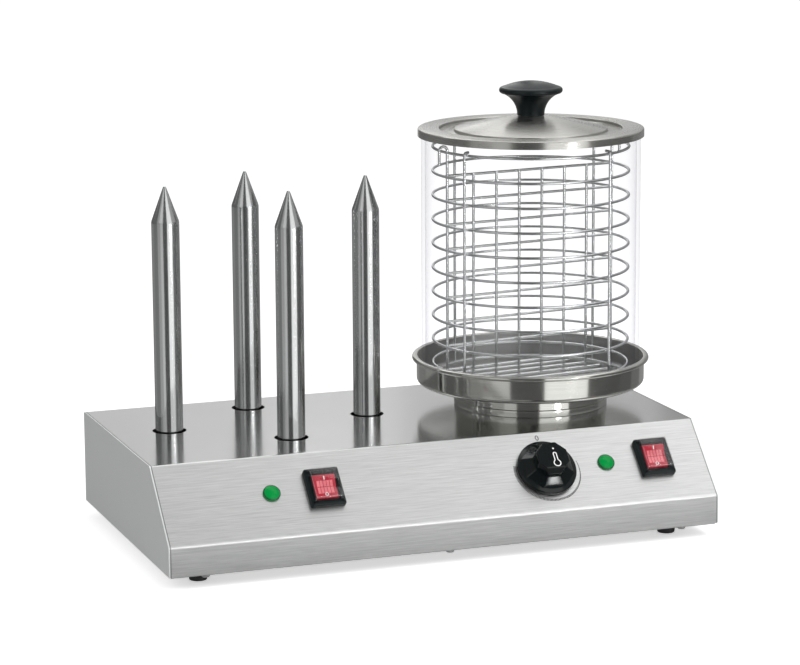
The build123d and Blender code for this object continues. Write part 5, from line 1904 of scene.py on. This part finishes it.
    def set_world(self) -> None:
        """White to the camera, to reflections and through glass, and softer as light."""
        world = bpy.data.worlds.new("studio")
        bpy.context.scene.world = world
        paint = Paint(world, "ShaderNodeOutputWorld")
        seen = self.seen(paint)
        strength = seen * (1 - self.ambient) + self.ambient
        inputs = {"Color": (1.0, 1.0, 1.0, 1.0), "Strength": strength}
        paint.show(paint.add("ShaderNodeBackground", {}, inputs))

    @staticmethod
    def seen(paint: Paint) -> Link:
        """One for rays that show the background, and zero for rays that gather light.

        Args:
            paint: node tree to fill.

        Returns:
            One or zero.
        """
        names = ("Is Camera Ray", "Is Glossy Ray", "Is Transmission Ray")
        shown, mirrored, through = (paint.add("ShaderNodeLightPath", result=name) for name in names)
        return shown.largest(mirrored.largest(through))

    def make_floor(self) -> None:
        """Lay a plain pale floor that keeps the object's shadow."""
        mesh = bmesh.new()
        bmesh.ops.create_grid(mesh, x_segments=1, y_segments=1, size=self.floor_size)
        data = settle("floor", mesh)
        material = bpy.data.materials.new("pale_floor")
        paint = Paint(material, "ShaderNodeOutputMaterial")
        lit = paint.add("ShaderNodeBsdfDiffuse", {}, {"Color": (*(self.floor_colour,) * 3, 1.0)})
        pale = {"Color": (1.0, 1.0, 1.0, 1.0), "Strength": self.seen(paint) * self.backdrop}
        shown = paint.add("ShaderNodeEmission", {}, pale)
        paint.show(paint.add("ShaderNodeAddShader", {}, {0: lit, 1: shown}))
        data.materials.append(material)
        floor = put_up("floor", data)
        floor.visible_glossy = False

    def make_cards(self, name: str, cards: Sequence[Point], low: float, high: float) -> None:
        """Stand a ring of soft boxes and grey cards round the object, seen only in reflections.

        Args:
            name: name of the ring.
            cards: last turn and level of each card.
            low: lower edge in metres.
            high: upper edge in metres.
        """
        mesh = bmesh.new()
        place = Matrix.Translation((0.0, 0.0, low))
        bmesh.ops.create_circle(mesh, segments=self.card_count, radius=self.card_radius, matrix=place)
        drawn = bmesh.ops.extrude_edge_only(mesh, edges=mesh.edges)["geom"]
        bmesh.ops.translate(mesh, vec=(0.0, 0.0, high - low), verts=pick(drawn, Vert))
        for face in mesh.faces:
            middle = face.calc_center_median()
            azimuth = math.degrees(math.atan2(middle.x, -middle.y))
            turn = (azimuth - self.azimuth) % 360.0
            face.material_index = next(index for index, card in enumerate(cards) if turn <= card[0])
        data = settle(name, mesh)
        for index, (_, level) in enumerate(cards):
            data.materials.append(self.glowing(f"{name}_{index}", (level,) * 3))
        self.hang_card(name, data)

    @staticmethod
    def hang_card(name: str, data: bpy.types.Mesh) -> None:
        """Put up a card that shows only in reflections.

        Args:
            name: name of the card.
            data: its mesh.
        """
        card = put_up(name, data)
        card.visible_camera = False
        card.visible_diffuse = False
        card.visible_transmission = False
        card.visible_shadow = False

    def make_canopy(self) -> None:
        """Close the ring at the top with a sheet whose levels change across it."""
        mesh = bmesh.new()
        high = Matrix.Translation((0.0, 0.0, self.card_high))
        bmesh.ops.create_circle(
            mesh, cap_ends=True, segments=self.card_count, radius=self.card_radius, matrix=high
        )
        data = settle("canopy", mesh)
        data.materials.append(self.glowing("canopy", self.canopy_levels))
        self.hang_card("canopy", data)

    def canopy_levels(self, paint: Paint) -> Link:
        """Levels across the canopy.

        Args:
            paint: node tree to fill.

        Returns:
            The level as a colour.
        """
        angle = math.radians(self.canopy_turn)
        course = (math.cos(angle), math.sin(angle), 0.0)
        inputs = {0: paint.spot(), 1: course}
        across = paint.add("ShaderNodeVectorMath", {"operation": "DOT_PRODUCT"}, inputs, "Value")
        share = across / (2 * self.card_radius / MM) + 0.5
        stops = [(position, (level,) * 3) for position, level in self.canopy]
        return paint.add("ShaderNodeValToRGB", {"stops": stops}, {"Fac": share}, "Color")

    def make_grey(self, name: str, size: Point, place: Matrix, level: float) -> None:
        """Put up a flat card that shows only in reflections.

        Args:
            name: name of the card.
            size: length and width in metres.
            place: where the card's middle lies, in metres.
            level: how light the card is.
        """
        mesh = bmesh.new()
        bmesh.ops.create_grid(mesh, x_segments=1, y_segments=1, size=0.5)
        bmesh.ops.scale(mesh, vec=(*size, 1.0), verts=mesh.verts)
        bmesh.ops.transform(mesh, matrix=place, verts=mesh.verts)
        data = settle(name, mesh)
        data.materials.append(self.glowing(name, (level,) * 3))
        self.hang_card(name, data)

    @staticmethod
    def glowing(name: str, level: Union[Colour, Callable[[Paint], Link]]) -> bpy.types.Material:
        """Material of a card.

        Args:
            name: name of the material.
            level: how light the card is, or the method that paints its levels.

        Returns:
            The material.
        """
        material = bpy.data.materials.new(name)
        paint = Paint(material, "ShaderNodeOutputMaterial")
        colour = level(paint) if callable(level) else (*level, 1.0)
        paint.show(paint.add("ShaderNodeEmission", {}, {"Color": colour, "Strength": 1.0}))
        material.cycles.emission_sampling = "NONE"
        return material

    def set_lamp(self, lamp: SoftLamp) -> None:
        """Hang a soft lamp that faces the object.

        Args:
            lamp: its place, size and power.
        """
        data = bpy.data.lights.new(lamp.name, "AREA")
        data.shape = "SQUARE"
        data.size = lamp.size
        data.energy = lamp.power
        holder = put_up(lamp.name, data)
        holder.matrix_world = self.facing(lamp.turn, lamp.rise, lamp.away)
        holder.visible_glossy = False


def main() -> None:
    """Build the studio and every piece in order."""
    logging.basicConfig(level=logging.INFO, format="%(message)s")
    parts = (Studio(), Frame(), Toaster(), Pan(), GlassTube(), Basket(), Lid(), Controls(), Feet())
    for part in parts:
        LOG.info("%s", type(part).__doc__)
        part.build()


if __name__ == "__main__":
    main()
